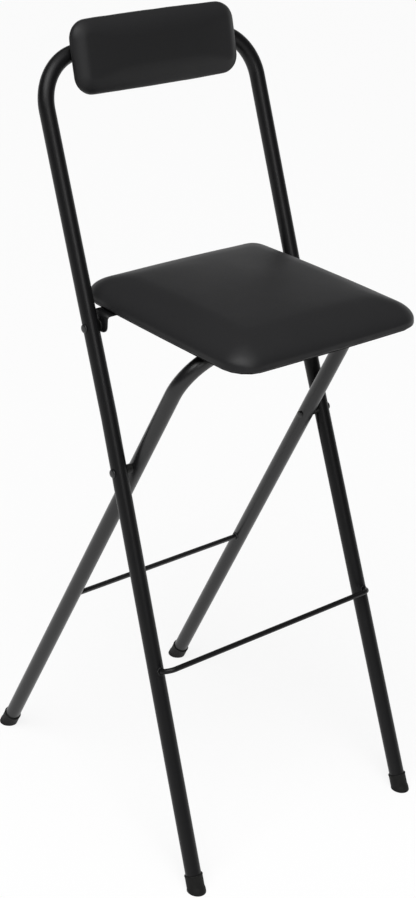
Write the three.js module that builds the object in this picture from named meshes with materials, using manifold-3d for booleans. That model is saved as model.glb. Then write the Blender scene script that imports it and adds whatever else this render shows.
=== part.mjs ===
// A folding bar stool: two crossed tube frames, an upholstered seat and a padded backrest.
// Millimetres, +Z up, the sitter faces -Y. The origin lies on the floor, midway between the
// front and the rear feet. The stool stands open, with the seat resting on the rear frame.

import * as THREE from 'three';
import { mergeVertices } from 'three/addons/utils/BufferGeometryUtils.js';
import Module from 'manifold-3d';

const wasm = await Module();
wasm.setup();

const degrees = THREE.MathUtils.degToRad;
const xAxis = new THREE.Vector3(1, 0, 0);
const yAxis = new THREE.Vector3(0, 1, 0);
const zAxis = new THREE.Vector3(0, 0, 1);
const sides = [['left', -1], ['right', 1]];

// Clearances, shared by all pieces
const restGap = 0.3; // between two pieces that touch
const holeClearance = 0.3; // round a shank in its hole
const cutOverrun = 40; // how far a cut runs past the piece

// Tube and rod
const tubeDiameter = 22;
const tubeWall = 1.2;
const rodDiameter = 7.5;

// Stance, seen from the side
const footSpread = 480; // front feet to rear feet, on the tube axes
const frontLean = degrees(22.1);
const rearLean = degrees(25.7);
const seatBarHeight = 727.5; // axis of the rear frame's top bar
const backBarHeight = 1055; // axis of the front frame's top bar

// Front frame, seen from the front
const uprightHalfWidth = 185.4;
const footSplay = 14; // how far each foot stands outside its upright
const splayHeight = 610; // the legs spread below this
const splayBendRadius = 320;
const backBendRadius = 70;

// Rear frame, which stands inside the front one
const pivotSpacerLength = 8.6; // between the two frames' tubes at the main pivot
const rearSplay = degrees(1.24);
const seatBendRadius = 70;

// Footrest rods
const frontRodHeight = 295.8;
const frontRodReach = 25; // from the legs' plane forward to the rod
const frontRodBendRadius = 15;
const rearRodHeight = 285.8;

// Foot caps
const capLength = 19.5;
const capWall = 1.1;
const capBaseFlare = 0.8;
const capLip = 0.4;
const capLipHeight = 2.5;
const capFloor = 4; // rubber between the tube's end and the floor

// Main pivot rivets, one through both frames on each side
const pivotShankDiameter = 6;
const pivotHeadDiameter = 12;
const pivotHeadHeight = 2.2;
const pivotTailDiameter = 10;
const pivotTailHeight = 1.8;
const spacerDiameter = 13;

// Seat pivot rivets, washers and strap
const seatShankDiameter = 6;
const seatHeadDiameter = 12;
const seatHeadHeight = 2.2;
const seatTailDiameter = 10;
const seatTailHeight = 1.8;
const washerDiameter = 16;
const washerThickness = 1.9;
const strapThickness = 2.3;
const strapWidth = 31.5;
const strapBendRadius = 5;
const strapAheadOfPivot = 16; // from the pivot to the strap's front edge
const earBelowPivot = 8;
const earCornerRadius = 9.5;
const seatPivotDrop = 18; // from the seat's underside to the pivot

// Stop strip under the seat, which hooks over the rear frame's bar
const barGap = 0.4; // the open joint between the bar and the strip
const stripThickness = 1.8;
const stripEndInset = 47; // from the seat's side to the strip's end
const stripLipDrop = 13;
const stripRear = 29; // from the bar's axis to the strip's rear edge
const stripBendRadius = 3.5;

// Seat: board and cushion
const seatDepth = 338;
const seatBehindPivot = 64;
const seatSideGap = 7; // between the cushion and the uprights
const seatTaper = 5; // how much each side comes in at the rear
const seatBow = 2; // how far each edge bows out at its middle
const seatCornerRadius = 38;
const seatBoardThickness = 9;
const seatBoardLip = 3; // board that shows below the cover
const seatSkirt = 3.5; // padding between the board's edge and the outside
const seatTuckRun = 1.4;
const seatTuckRise = 2.5;
const seatBandHeight = 7;
const seatShoulderRun = 26; // where the top's rings stop following the edge at one distance
const seatSwellRun = 56; // how far in from the edge the top levels out
const seatSwellRise = 26;
const seatCrown = 7.5; // the broad dome that rides on the swell

// Backrest: board and pad
const padLean = degrees(15.6);
const padSideInset = 44; // from the upright's axis to the pad's side
const padAboveBar = 42.5;
const padBelowBar = 59;
const padBow = 1.5;
const padCornerRadius = 25;
const padBoardThickness = 9;
const padSkirt = 9;
const padTuckRun = 6;
const padTuckRise = 6;
const padBandHeight = 8;
const padShoulderRun = 17;
const padSwellRun = 34;
const padSwellRise = 15;
const padCrown = 3;
const swellPower = 1.7; // 2 would make a cushion's edge elliptic
const padGap = 0.5; // between the pad and the bar that it is screwed to

// Screws and tee nuts
const boardScrewDiameter = 4;
const boardScrewHeadDiameter = 8;
const boardScrewHeadHeight = 2.4;
const boardScrewBite = 7;
const strapScrewInsets = [107, 42]; // from the seat's side
const stripScrewInsets = [85, 20]; // from the strip's end
const stripScrewEdge = 7; // from the strip's rear edge
const padScrewDiameter = 6;
const padScrewHeadDiameter = 11;
const padScrewHeadHeight = 3.3;
const padScrewInset = 67; // from the pad's side
const teeFlangeDiameter = 17;
const teeFlangeThickness = 1.3;
const teeBarrelDiameter = 8;
const teeBarrelLength = 7;

// Fineness of round shapes
const tubeSides = 20;
const rodSides = 14;
const turnedSides = 20;
const screwSides = 12;
const bendSteps = 7;
const splayBendSteps = 2;
const strapBendSteps = 3;
const domeSteps = 3;
const cornerSteps = 6;
const edgeSteps = 6;
const shoulderSteps = 6;
const crownSteps = 8;

// Looks
const blackPaint = { color: 0x1b1b1c, roughness: 0.42, metalness: 0.35 };
const blackRubber = { color: 0x202021, roughness: 0.8, metalness: 0 };
const blackVinyl = { color: 0x2c2c2d, roughness: 0.5, metalness: 0 };
const blackBoard = { color: 0x161616, roughness: 0.75, metalness: 0 };
const blackSteel = { color: 0x242425, roughness: 0.35, metalness: 0.6 };
const zincSteel = { color: 0x8f9092, roughness: 0.4, metalness: 1 };

// Places worked out from the sizes above
const tubeRadius = tubeDiameter / 2;
const rodRadius = rodDiameter / 2;
const frontFootHalfWidth = uprightHalfWidth + footSplay;
const crossHeight = footSpread / (Math.tan(frontLean) + Math.tan(rearLean));
const frontAlong = (height) => height / Math.cos(frontLean);
const rearAlong = (height) => height / Math.cos(rearLean);
const legSplay = Math.atan((frontFootHalfWidth - uprightHalfWidth) / frontAlong(splayHeight));
const legHalfWidth = (along) => frontFootHalfWidth - along * Math.tan(legSplay);
const frontPivotHalfWidth = legHalfWidth(frontAlong(crossHeight));
const rearPivotHalfWidth = frontPivotHalfWidth - tubeDiameter - pivotSpacerLength;
const rearFootHalfWidth = rearPivotHalfWidth + rearAlong(crossHeight) * Math.tan(rearSplay);
const rearHalfWidth = (along) => rearFootHalfWidth - along * Math.tan(rearSplay);
const seatUnderside = seatBarHeight + tubeRadius + barGap + stripThickness + restGap;
const seatPivotHeight = seatUnderside - seatPivotDrop;
const seatPivotY = seatPivotHeight * Math.tan(frontLean) - footSpread / 2;
const seatBarY = footSpread / 2 - seatBarHeight * Math.tan(rearLean);
const washerOuterX = uprightHalfWidth - tubeRadius - restGap;
const earOuterX = washerOuterX - washerThickness - restGap;
const earInnerX = earOuterX - strapThickness;
const seatHalfWidth = uprightHalfWidth - tubeRadius - seatSideGap;
const stripHalfLength = seatHalfWidth - stripEndInset;
const padHalfWidth = uprightHalfWidth - padSideInset;
const padScrewX = padHalfWidth - padScrewInset;

// A route given by the points that a tube passes through, with a ring of the tube at each
class TubeRoute extends THREE.Curve {
  constructor(stations) {
    super();
    this.stations = stations;
  }

  getPoint(share, target = new THREE.Vector3()) {
    const place = share * (this.stations.length - 1);
    const index = Math.min(Math.floor(place), this.stations.length - 2);
    return target.lerpVectors(this.stations[index], this.stations[index + 1], place - index);
  }

  getUtoTmapping(share) {
    return share;
  }
}

// Rounds each inner corner of a route with its own bend: a radius and a count of steps
function roundedStations(corners, bends) {
  const stations = [corners[0]];
  bends.forEach(({ radius, steps }, index) => {
    const corner = corners[index + 1];
    const back = corners[index].clone().sub(corner).normalize();
    const ahead = corners[index + 2].clone().sub(corner).normalize();
    const halfAngle = back.angleTo(ahead) / 2;
    const centre = back.clone().add(ahead).setLength(radius / Math.sin(halfAngle)).add(corner);
    const spoke = back.clone().multiplyScalar(radius / Math.tan(halfAngle)).add(corner).sub(centre);
    const hinge = ahead.clone().cross(back).normalize();
    for (let step = 0; step <= steps; step += 1) {
      const turn = (Math.PI - 2 * halfAngle) * (step / steps);
      stations.push(spoke.clone().applyAxisAngle(hinge, turn).add(centre));
    }
  });
  stations.push(corners[corners.length - 1]);
  return stations;
}

// Sweeps a flat shape along a route, with a ring at each of its points
function sweep(shape, stations, roundSides = tubeSides) {
  return new THREE.ExtrudeGeometry(shape, {
    steps: stations.length - 1,
    extrudePath: new TubeRoute(stations),
    curveSegments: roundSides / 2,
  });
}

function tube(stations) {
  const shape = new THREE.Shape().absarc(0, 0, tubeRadius, 0, 2 * Math.PI);
  shape.holes.push(new THREE.Path().absarc(0, 0, tubeRadius - tubeWall, 0, 2 * Math.PI));
  return sweep(shape, stations);
}

function rod(stations) {
  return sweep(new THREE.Shape().absarc(0, 0, rodRadius, 0, 2 * Math.PI), stations, rodSides);
}

// Turns a profile of [radius, height] pairs about the Y axis
function turned(profile, roundSides = turnedSides) {
  return new THREE.LatheGeometry(profile.map(([r, y]) => new THREE.Vector2(r, y)), roundSides);
}

// Stands a piece that was made along the Y axis at a point, pointing another way
function aim(geometry, point, direction) {
  const turn = new THREE.Quaternion().setFromUnitVectors(yAxis, direction.clone().normalize());
  return geometry.clone().applyQuaternion(turn).translate(point.x, point.y, point.z);
}

// A straight round cutter through a point, running both ways
function bore(radius, halfLength, point, direction) {
  const round = new THREE.CylinderGeometry(radius, radius, 2 * halfLength, turnedSides);
  return aim(round, point, direction);
}

function toManifold(geometry) {
  const bare = geometry.clone();
  bare.deleteAttribute('normal');
  bare.deleteAttribute('uv');
  const merged = mergeVertices(bare);
  const corners = merged.index.array;
  const kept = [];
  for (let i = 0; i < corners.length; i += 3) {
    const [a, b, c] = [corners[i], corners[i + 1], corners[i + 2]];
    if (a !== b && b !== c && c !== a) kept.push(a, b, c);
  }
  return new wasm.Manifold(new wasm.Mesh({
    numProp: 3,
    vertProperties: Float32Array.from(merged.attributes.position.array),
    triVerts: Uint32Array.from(kept),
  }));
}

function toGeometry(manifold) {
  const mesh = manifold.getMesh();
  const geometry = new THREE.BufferGeometry();
  geometry.setAttribute('position', new THREE.BufferAttribute(mesh.vertProperties, 3));
  geometry.setIndex(new THREE.BufferAttribute(mesh.triVerts, 1));
  geometry.computeVertexNormals();
  return geometry;
}

function cut(geometry, cutters) {
  const body = toManifold(geometry);
  return toGeometry(cutters.reduce((rest, cutter) => rest.subtract(toManifold(cutter)), body));
}

function add(parent, name, geometry, look) {
  const mesh = new THREE.Mesh(geometry, new THREE.MeshStandardMaterial(look));
  mesh.name = name;
  parent.add(mesh);
  return mesh;
}

// The space below the floor, seen from inside a leaning frame
function belowFloor(frame) {
  const width = 2 * (frontFootHalfWidth + cutOverrun);
  const depth = 2 * (footSpread + cutOverrun);
  const block = new THREE.BoxGeometry(width, depth, cutOverrun).translate(0, 0, -cutOverrun / 2);
  frame.updateMatrixWorld(true);
  return block.applyMatrix4(frame.matrixWorld.clone().invert());
}

// A rubber cap round a tube's end, made along the leg's axis and cut flat on the floor
function footCap(frame, foot, upTheLeg, tubeStart) {
  const boreRadius = tubeRadius + restGap;
  const outer = boreRadius + capWall;
  const top = capLength + capFloor;
  const boreFloor = tubeStart - restGap;
  const profile = [
    [0, -cutOverrun / 2],
    [outer + capBaseFlare, -cutOverrun / 2],
    [outer + capBaseFlare, capFloor / 2],
    [outer, capFloor],
    [outer, top - capLipHeight],
    [outer + capLip, top - capLipHeight / 2],
    [outer, top],
    [boreRadius, top],
    [boreRadius, boreFloor],
    [0, boreFloor],
  ];
  return cut(aim(turned(profile), foot, upTheLeg), [belowFloor(frame)]);
}

// A rivet along the Y axis: a domed head above the origin, its shank and formed tail below
function rivet(shank, head, headHeight, tail, tailHeight, gripLength) {
  const profile = [
    [0, -gripLength - tailHeight],
    [tail / 2 - tailHeight / 2, -gripLength - tailHeight],
    [tail / 2, -gripLength - tailHeight / 2],
    [tail / 2, -gripLength],
    [shank / 2, -gripLength],
    [shank / 2, 0],
  ];
  for (let step = 0; step <= domeSteps; step += 1) {
    const angle = (step / domeSteps) * (Math.PI / 2);
    const radius = step === domeSteps ? 0 : (head / 2) * Math.cos(angle);
    profile.push([radius, headHeight * Math.sin(angle)]);
  }
  return turned(profile);
}

// A plain ring along the Y axis, starting at the origin
function ring(outerRadius, innerRadius, length) {
  return turned([
    [innerRadius, 0],
    [outerRadius, 0],
    [outerRadius, length],
    [innerRadius, length],
    [innerRadius, 0],
  ]);
}

// A screw along the Y axis: its head below the origin, its shank above
function screw(shank, head, headHeight, length) {
  return turned([
    [0, -headHeight],
    [head / 2 - headHeight / 2, -headHeight],
    [head / 2, -headHeight / 2],
    [head / 2, 0],
    [shank / 2, 0],
    [shank / 2, length],
    [0, length],
  ], screwSides);
}

// The rounded, bowed and tapered outline of a cushion, anticlockwise, drawn in by an inset
function outline(plan, inset) {
  const { halfWidth, halfDepth, cornerRadius, bow, taper } = plan;
  const radius = cornerRadius - inset;
  const x = halfWidth - bow - cornerRadius;
  const y = halfDepth - bow - cornerRadius;
  const centres = [[x, -y], [x, y], [-x, y], [-x, -y]];
  const flat = [];
  centres.forEach(([cx, cy], quarter) => {
    for (let step = 0; step <= cornerSteps; step += 1) {
      const angle = (quarter - 1 + step / cornerSteps) * (Math.PI / 2);
      flat.push(new THREE.Vector2(cx + radius * Math.cos(angle), cy + radius * Math.sin(angle)));
    }
    const [nextX, nextY] = centres[(quarter + 1) % centres.length];
    const from = flat[flat.length - 1];
    const along = new THREE.Vector2(nextX - cx, nextY - cy);
    for (let step = 1; step < edgeSteps; step += 1) {
      flat.push(from.clone().addScaledVector(along, step / edgeSteps));
    }
  });
  return flat.map((point) => {
    const u = point.x / halfWidth;
    const v = point.y / halfDepth;
    const side = halfWidth + bow * (1 - v * v) - (taper * (1 + v)) / 2;
    return new THREE.Vector2(u * side, v * (halfDepth + bow * (1 - u * u)));
  });
}

// A closed surface over rings of points, with a fan over the first and the last ring
function loft(rings) {
  const count = rings[0].length;
  const points = rings.flat();
  const corners = [];
  for (let level = 0; level < rings.length - 1; level += 1) {
    for (let i = 0; i < count; i += 1) {
      const a = level * count + i;
      const b = level * count + ((i + 1) % count);
      corners.push(a, b, b + count, a, b + count, a + count);
    }
  }
  const last = (rings.length - 1) * count;
  const firstCentre = points.push(middle(rings[0])) - 1;
  const lastCentre = points.push(middle(rings[rings.length - 1])) - 1;
  for (let i = 0; i < count; i += 1) {
    const next = (i + 1) % count;
    corners.push(firstCentre, next, i, lastCentre, last + i, last + next);
  }
  const geometry = new THREE.BufferGeometry().setFromPoints(points);
  geometry.setIndex(corners);
  geometry.computeVertexNormals();
  return geometry;
}

function middle(points) {
  const sum = new THREE.Vector3();
  points.forEach((point) => sum.add(point));
  return sum.divideScalar(points.length);
}

// How much of its rise a cushion's top has made at a distance in from its edge
function swell(form, distance) {
  const left = Math.max(1 - distance / form.swellRun, 0);
  return (1 - left ** swellPower) ** (1 / swellPower);
}

// A cushion: a pocket for its board below, a drawn-in low edge, a band, and a top that swells
// from the band inward and carries a broad dome. Its low edge is at z = 0.
function cushion(plan, form) {
  const level = (inset, height, share = 1) => outline(plan, inset).map(
    (point) => new THREE.Vector3(point.x * share, point.y * share, height),
  );
  const rings = [
    level(form.skirt, form.pocketDepth),
    level(form.skirt, 0),
    level(form.tuckRun, 0),
    level(0, form.tuckRise),
  ];
  const top = (inset, share) => level(inset, form.bandHeight, share).map((point) => {
    const u = Math.min(Math.abs(point.x) / plan.halfWidth, 1);
    const v = Math.min(Math.abs(point.y) / plan.halfDepth, 1);
    const distance = inset + (1 - share) * (plan.halfDepth - inset);
    point.z += form.swellRise * swell(form, distance) + form.crown * (1 - u * u) * (1 - v * v);
    return point;
  });
  for (let step = 0; step <= shoulderSteps; step += 1) {
    const angle = (step / shoulderSteps) * (Math.PI / 2);
    rings.push(top(form.shoulderRun * (1 - Math.cos(angle)), 1));
  }
  for (let step = 1; step <= crownSteps; step += 1) {
    rings.push(top(form.shoulderRun, 1 - step / (crownSteps + 1)));
  }
  return loft(rings);
}

// The board inside a cushion, from z = 0 upward, with its screw holes
function board(plan, inset, thickness, holes, holeRadius) {
  const shape = new THREE.Shape(outline(plan, inset));
  holes.forEach(([x, y]) => {
    shape.holes.push(new THREE.Path().absarc(x, y, holeRadius, 0, 2 * Math.PI));
  });
  return new THREE.ExtrudeGeometry(shape, {
    depth: thickness,
    bevelEnabled: false,
    curveSegments: turnedSides / 2,
  });
}

const stool = new THREE.Group();

// Front frame. Inside this group the tubes lie in the XZ plane, Z runs up along them
// and -Y is the side that faces forward and up.
const frontFrame = new THREE.Group();
frontFrame.position.y = -footSpread / 2;
frontFrame.rotation.x = -frontLean;
stool.add(frontFrame);

const frontFoot = (side) => new THREE.Vector3(side * frontFootHalfWidth, 0, 0);
const legDirection = (side, splay) => new THREE.Vector3(-side * Math.sin(splay), 0, Math.cos(splay));
const frontLegDirection = (side) => legDirection(side, legSplay);
const frontTubeStart = (capFloor + tubeRadius * Math.sin(frontLean)) / Math.cos(frontLean);
const mainPivotAlong = frontAlong(crossHeight);
const seatPivotAlong = frontAlong(seatPivotHeight);
const backBarAlong = frontAlong(backBarHeight);
const padTilt = frontLean - padLean;
const padNormal = new THREE.Vector3(0, -Math.cos(padTilt), -Math.sin(padTilt));

const frontCorners = [
  frontFoot(-1).addScaledVector(frontLegDirection(-1), frontTubeStart),
  new THREE.Vector3(-uprightHalfWidth, 0, frontAlong(splayHeight)),
  new THREE.Vector3(-uprightHalfWidth, 0, backBarAlong),
  new THREE.Vector3(uprightHalfWidth, 0, backBarAlong),
  new THREE.Vector3(uprightHalfWidth, 0, frontAlong(splayHeight)),
  frontFoot(1).addScaledVector(frontLegDirection(1), frontTubeStart),
];
const splayBend = { radius: splayBendRadius, steps: splayBendSteps };
const backBend = { radius: backBendRadius, steps: bendSteps };
const frontHoles = [];
sides.forEach(([, side]) => {
  const pivot = new THREE.Vector3(side * frontPivotHalfWidth, 0, mainPivotAlong);
  const seatPivot = new THREE.Vector3(side * uprightHalfWidth, 0, seatPivotAlong);
  const padScrew = new THREE.Vector3(side * padScrewX, 0, backBarAlong);
  frontHoles.push(bore(pivotShankDiameter / 2 + holeClearance, tubeDiameter, pivot, xAxis));
  frontHoles.push(bore(seatShankDiameter / 2 + holeClearance, tubeDiameter, seatPivot, xAxis));
  frontHoles.push(bore(padScrewDiameter / 2 + holeClearance, tubeDiameter, padScrew, padNormal));
});
const frontStations = roundedStations(frontCorners, [splayBend, backBend, backBend, splayBend]);
add(frontFrame, 'front_frame_tube', cut(tube(frontStations), frontHoles), blackPaint);

const frontRodAlong = frontAlong(frontRodHeight - frontRodReach * Math.sin(frontLean));
const frontRodEndX = legHalfWidth(frontRodAlong);
const frontRodBend = { radius: Math.min(frontRodBendRadius, frontRodReach), steps: bendSteps };
const frontRodStations = roundedStations([
  new THREE.Vector3(-frontRodEndX, 0, frontRodAlong),
  new THREE.Vector3(-frontRodEndX, -frontRodReach, frontRodAlong),
  new THREE.Vector3(frontRodEndX, -frontRodReach, frontRodAlong),
  new THREE.Vector3(frontRodEndX, 0, frontRodAlong),
], [frontRodBend, frontRodBend]);
const frontLegCutters = sides.map(([, side]) => {
  const place = new THREE.Vector3(side * frontRodEndX, 0, frontRodAlong);
  return bore(tubeRadius + restGap, cutOverrun, place, frontLegDirection(side));
});
add(frontFrame, 'front_footrest_rod', cut(rod(frontRodStations), frontLegCutters), blackPaint);

sides.forEach(([name, side]) => {
  const outward = xAxis.clone().multiplyScalar(side);
  const upTheLeg = frontLegDirection(side);
  const cap = footCap(frontFrame, frontFoot(side), upTheLeg, frontTubeStart);
  add(frontFrame, `front_${name}_foot_cap`, cap, blackRubber);

  const headX = frontPivotHalfWidth + tubeRadius + restGap;
  const tailX = rearPivotHalfWidth - tubeRadius - restGap;
  const mainRivet = rivet(
    pivotShankDiameter,
    pivotHeadDiameter,
    pivotHeadHeight,
    pivotTailDiameter,
    pivotTailHeight,
    headX - tailX,
  );
  const rivetHead = new THREE.Vector3(side * headX, 0, mainPivotAlong);
  add(frontFrame, `main_pivot_rivet_${name}`, aim(mainRivet, rivetHead, outward), blackSteel);

  const spacerX = rearPivotHalfWidth + tubeRadius + restGap;
  const spacerStart = new THREE.Vector3(side * spacerX, 0, mainPivotAlong);
  const spacerLength = pivotSpacerLength + tubeRadius / 2;
  const spacerBore = pivotShankDiameter / 2 + holeClearance;
  const spacer = aim(ring(spacerDiameter / 2, spacerBore, spacerLength), spacerStart, outward);
  const legAtPivot = new THREE.Vector3(side * frontPivotHalfWidth, 0, mainPivotAlong);
  const saddle = bore(tubeRadius + restGap, cutOverrun, legAtPivot, upTheLeg);
  add(frontFrame, `main_pivot_spacer_${name}`, cut(spacer, [saddle]), blackRubber);

  const seatHeadX = uprightHalfWidth + tubeRadius + restGap;
  const seatTailX = earInnerX - restGap;
  const seatRivet = rivet(
    seatShankDiameter,
    seatHeadDiameter,
    seatHeadHeight,
    seatTailDiameter,
    seatTailHeight,
    seatHeadX - seatTailX,
  );
  const seatRivetHead = new THREE.Vector3(side * seatHeadX, 0, seatPivotAlong);
  add(frontFrame, `seat_pivot_rivet_${name}`, aim(seatRivet, seatRivetHead, outward), blackSteel);

  const washerX = washerOuterX - washerThickness;
  const washerStart = new THREE.Vector3(side * washerX, 0, seatPivotAlong);
  const washer = ring(washerDiameter / 2, seatShankDiameter / 2 + holeClearance, washerThickness);
  add(frontFrame, `seat_pivot_washer_${name}`, aim(washer, washerStart, outward), blackRubber);
});

// Backrest. Inside this group the pad stands in the XZ plane with the bar's axis at the
// origin; -Y is its front, and it leans back less than the frame does.
const backrest = new THREE.Group();
backrest.position.z = backBarAlong;
backrest.rotation.x = padTilt;
frontFrame.add(backrest);

const padPlan = {
  halfWidth: padHalfWidth,
  halfDepth: (padAboveBar + padBelowBar) / 2,
  cornerRadius: padCornerRadius,
  bow: padBow,
  taper: 0,
};
const padBack = tubeRadius + padGap;
const padCentre = (padAboveBar - padBelowBar) / 2;
const padForm = {
  skirt: padSkirt,
  pocketDepth: padBoardThickness + restGap,
  tuckRun: padTuckRun,
  tuckRise: padTuckRise,
  bandHeight: padBandHeight,
  shoulderRun: padShoulderRun,
  swellRun: padSwellRun,
  swellRise: padSwellRise,
  crown: padCrown,
};
const padMesh = add(backrest, 'backrest_pad', cushion(padPlan, padForm), blackVinyl);
padMesh.rotation.x = Math.PI / 2;
padMesh.position.set(0, -padBack, padCentre);

const teeBarrelRadius = teeBarrelDiameter / 2;
const teeFlangeRadius = teeFlangeDiameter / 2;
const padHoles = sides.map(([, side]) => [side * padScrewX, -padCentre]);
const barrelHole = teeBarrelRadius + holeClearance;
const plainPadBoard = board(padPlan, padSkirt + restGap, padBoardThickness, padHoles, barrelHole);
const flangeSeats = padHoles.map(([x, y]) => {
  const depth = teeFlangeThickness + restGap;
  const seat = new THREE.CylinderGeometry(
    teeFlangeRadius + holeClearance,
    teeFlangeRadius + holeClearance,
    2 * depth,
    turnedSides,
  );
  return aim(seat, new THREE.Vector3(x, y, padBoardThickness), zAxis);
});
const padBoardMesh = add(backrest, 'backrest_board', cut(plainPadBoard, flangeSeats), blackBoard);
padBoardMesh.rotation.x = Math.PI / 2;
padBoardMesh.position.set(0, -padBack, padCentre);

sides.forEach(([name, side]) => {
  const forward = yAxis.clone().negate();
  const shankHole = padScrewDiameter / 2 + holeClearance;
  const teeNut = turned([
    [shankHole, -teeBarrelLength],
    [teeBarrelRadius, -teeBarrelLength],
    [teeBarrelRadius, -teeFlangeThickness],
    [teeFlangeRadius, -teeFlangeThickness],
    [teeFlangeRadius, 0],
    [shankHole, 0],
    [shankHole, -teeBarrelLength],
  ]);
  const boardFront = new THREE.Vector3(side * padScrewX, -padBack - padBoardThickness, 0);
  add(backrest, `backrest_tee_nut_${name}`, aim(teeNut, boardFront, forward), zincSteel);

  const headSeat = tubeRadius + restGap;
  const screwLength = headSeat + padBack + padBoardThickness;
  const padScrew = screw(padScrewDiameter, padScrewHeadDiameter, padScrewHeadHeight, screwLength);
  const screwStart = new THREE.Vector3(side * padScrewX, headSeat, 0);
  add(backrest, `backrest_screw_${name}`, aim(padScrew, screwStart, forward), blackPaint);
});

// Rear frame, laid out like the front one, leaning the other way
const rearFrame = new THREE.Group();
rearFrame.position.y = footSpread / 2;
rearFrame.rotation.x = rearLean;
stool.add(rearFrame);

const rearFoot = (side) => new THREE.Vector3(side * rearFootHalfWidth, 0, 0);
const rearLegDirection = (side) => legDirection(side, rearSplay);
const rearTubeStart = (capFloor + tubeRadius * Math.sin(rearLean)) / Math.cos(rearLean);
const seatBarAlong = rearAlong(seatBarHeight);
const rearCorners = [
  rearFoot(-1).addScaledVector(rearLegDirection(-1), rearTubeStart),
  new THREE.Vector3(-rearHalfWidth(seatBarAlong), 0, seatBarAlong),
  new THREE.Vector3(rearHalfWidth(seatBarAlong), 0, seatBarAlong),
  rearFoot(1).addScaledVector(rearLegDirection(1), rearTubeStart),
];
const rearHoles = sides.map(([, side]) => {
  const pivot = new THREE.Vector3(side * rearPivotHalfWidth, 0, rearAlong(crossHeight));
  return bore(pivotShankDiameter / 2 + holeClearance, tubeDiameter, pivot, xAxis);
});
const seatBend = { radius: seatBendRadius, steps: bendSteps };
const rearStations = roundedStations(rearCorners, [seatBend, seatBend]);
add(rearFrame, 'rear_frame_tube', cut(tube(rearStations), rearHoles), blackPaint);

const rearRodAlong = rearAlong(rearRodHeight);
const rearRodEndX = rearHalfWidth(rearRodAlong);
const rearRodStations = [
  new THREE.Vector3(-rearRodEndX, 0, rearRodAlong),
  new THREE.Vector3(rearRodEndX, 0, rearRodAlong),
];
const rearLegCutters = sides.map(([, side]) => {
  const place = new THREE.Vector3(side * rearRodEndX, 0, rearRodAlong);
  return bore(tubeRadius + restGap, cutOverrun, place, rearLegDirection(side));
});
add(rearFrame, 'rear_footrest_rod', cut(rod(rearRodStations), rearLegCutters), blackPaint);

sides.forEach(([name, side]) => {
  const cap = footCap(rearFrame, rearFoot(side), rearLegDirection(side), rearTubeStart);
  add(rearFrame, `rear_${name}_foot_cap`, cap, blackRubber);
});

// Seat. This group's origin is the seat pivot; the seat is level when the stool is open.
const seat = new THREE.Group();
seat.position.set(0, seatPivotY, seatPivotHeight);
stool.add(seat);

const seatPlan = {
  halfWidth: seatHalfWidth,
  halfDepth: seatDepth / 2,
  cornerRadius: seatCornerRadius,
  bow: seatBow,
  taper: seatTaper,
};
const seatCentreY = seatBehindPivot - seatDepth / 2;
const seatForm = {
  skirt: seatSkirt,
  pocketDepth: seatBoardThickness - seatBoardLip + restGap,
  tuckRun: seatTuckRun,
  tuckRise: seatTuckRise,
  bandHeight: seatBandHeight,
  shoulderRun: seatShoulderRun,
  swellRun: seatSwellRun,
  swellRise: seatSwellRise,
  crown: seatCrown,
};
const cushionMesh = add(seat, 'seat_cushion', cushion(seatPlan, seatForm), blackVinyl);
cushionMesh.position.set(0, seatCentreY, seatPivotDrop + seatBoardLip);

const barY = seatBarY - seatPivotY;
const strapMiddleY = strapWidth / 2 - strapAheadOfPivot;
const screwRow = (rowName, halfLength, insets, y) => sides.flatMap(([name, side]) => insets.map(
  (inset, index) => [`${rowName}_${name}_${index + 1}`, side * (halfLength - inset), y],
));
const strapScrews = screwRow('strap_screw', seatHalfWidth, strapScrewInsets, strapMiddleY);
const stripScrewY = barY + stripRear - stripScrewEdge;
const stripScrews = screwRow('stop_strip_screw', stripHalfLength, stripScrewInsets, stripScrewY);
const seatHoles = [...strapScrews, ...stripScrews].map(([, x, y]) => [x, y - seatCentreY]);
const pilotRadius = boardScrewDiameter / 2 + holeClearance;
const seatBoard = board(seatPlan, seatSkirt + restGap, seatBoardThickness, seatHoles, pilotRadius);
const seatBoardMesh = add(seat, 'seat_board', seatBoard, blackBoard);
seatBoardMesh.position.set(0, seatCentreY, seatPivotDrop);

// Turns a prism whose outline was drawn as (Y, Z) to lie along X, middle at the middle line
function layAlongX(prism, halfLength) {
  const turn = new THREE.Matrix4().makeBasis(yAxis, zAxis, xAxis);
  return prism.applyMatrix4(turn).translate(-halfLength, 0, 0);
}

// The strap runs across below the board, and its ends turn down beside the uprights
const flangeTop = seatPivotDrop - restGap;
const earMiddleX = earOuterX - strapThickness / 2;
const flangeMiddleZ = flangeTop - strapThickness / 2;
const strapBend = { radius: strapBendRadius, steps: strapBendSteps };
const strapStations = roundedStations([
  new THREE.Vector3(-earMiddleX, strapMiddleY, -earBelowPivot),
  new THREE.Vector3(-earMiddleX, strapMiddleY, flangeMiddleZ),
  new THREE.Vector3(earMiddleX, strapMiddleY, flangeMiddleZ),
  new THREE.Vector3(earMiddleX, strapMiddleY, -earBelowPivot),
], [strapBend, strapBend]);
const strapSection = new THREE.Shape([
  new THREE.Vector2(-strapWidth / 2, -strapThickness / 2),
  new THREE.Vector2(strapWidth / 2, -strapThickness / 2),
  new THREE.Vector2(strapWidth / 2, strapThickness / 2),
  new THREE.Vector2(-strapWidth / 2, strapThickness / 2),
]);
const strapFront = -strapAheadOfPivot - restGap;
const strapRear = strapFront + strapWidth + 2 * restGap;
const earCornerFront = strapFront + earCornerRadius;
const earCornerRear = strapRear - earCornerRadius;
const earCornerZ = earCornerRadius - earBelowPivot;
const earOutline = new THREE.Shape();
earOutline.moveTo(strapFront, cutOverrun);
earOutline.absarc(earCornerFront, earCornerZ, earCornerRadius, Math.PI, 1.5 * Math.PI);
earOutline.absarc(earCornerRear, earCornerZ, earCornerRadius, 1.5 * Math.PI, 2 * Math.PI);
earOutline.lineTo(strapRear, cutOverrun);
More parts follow.
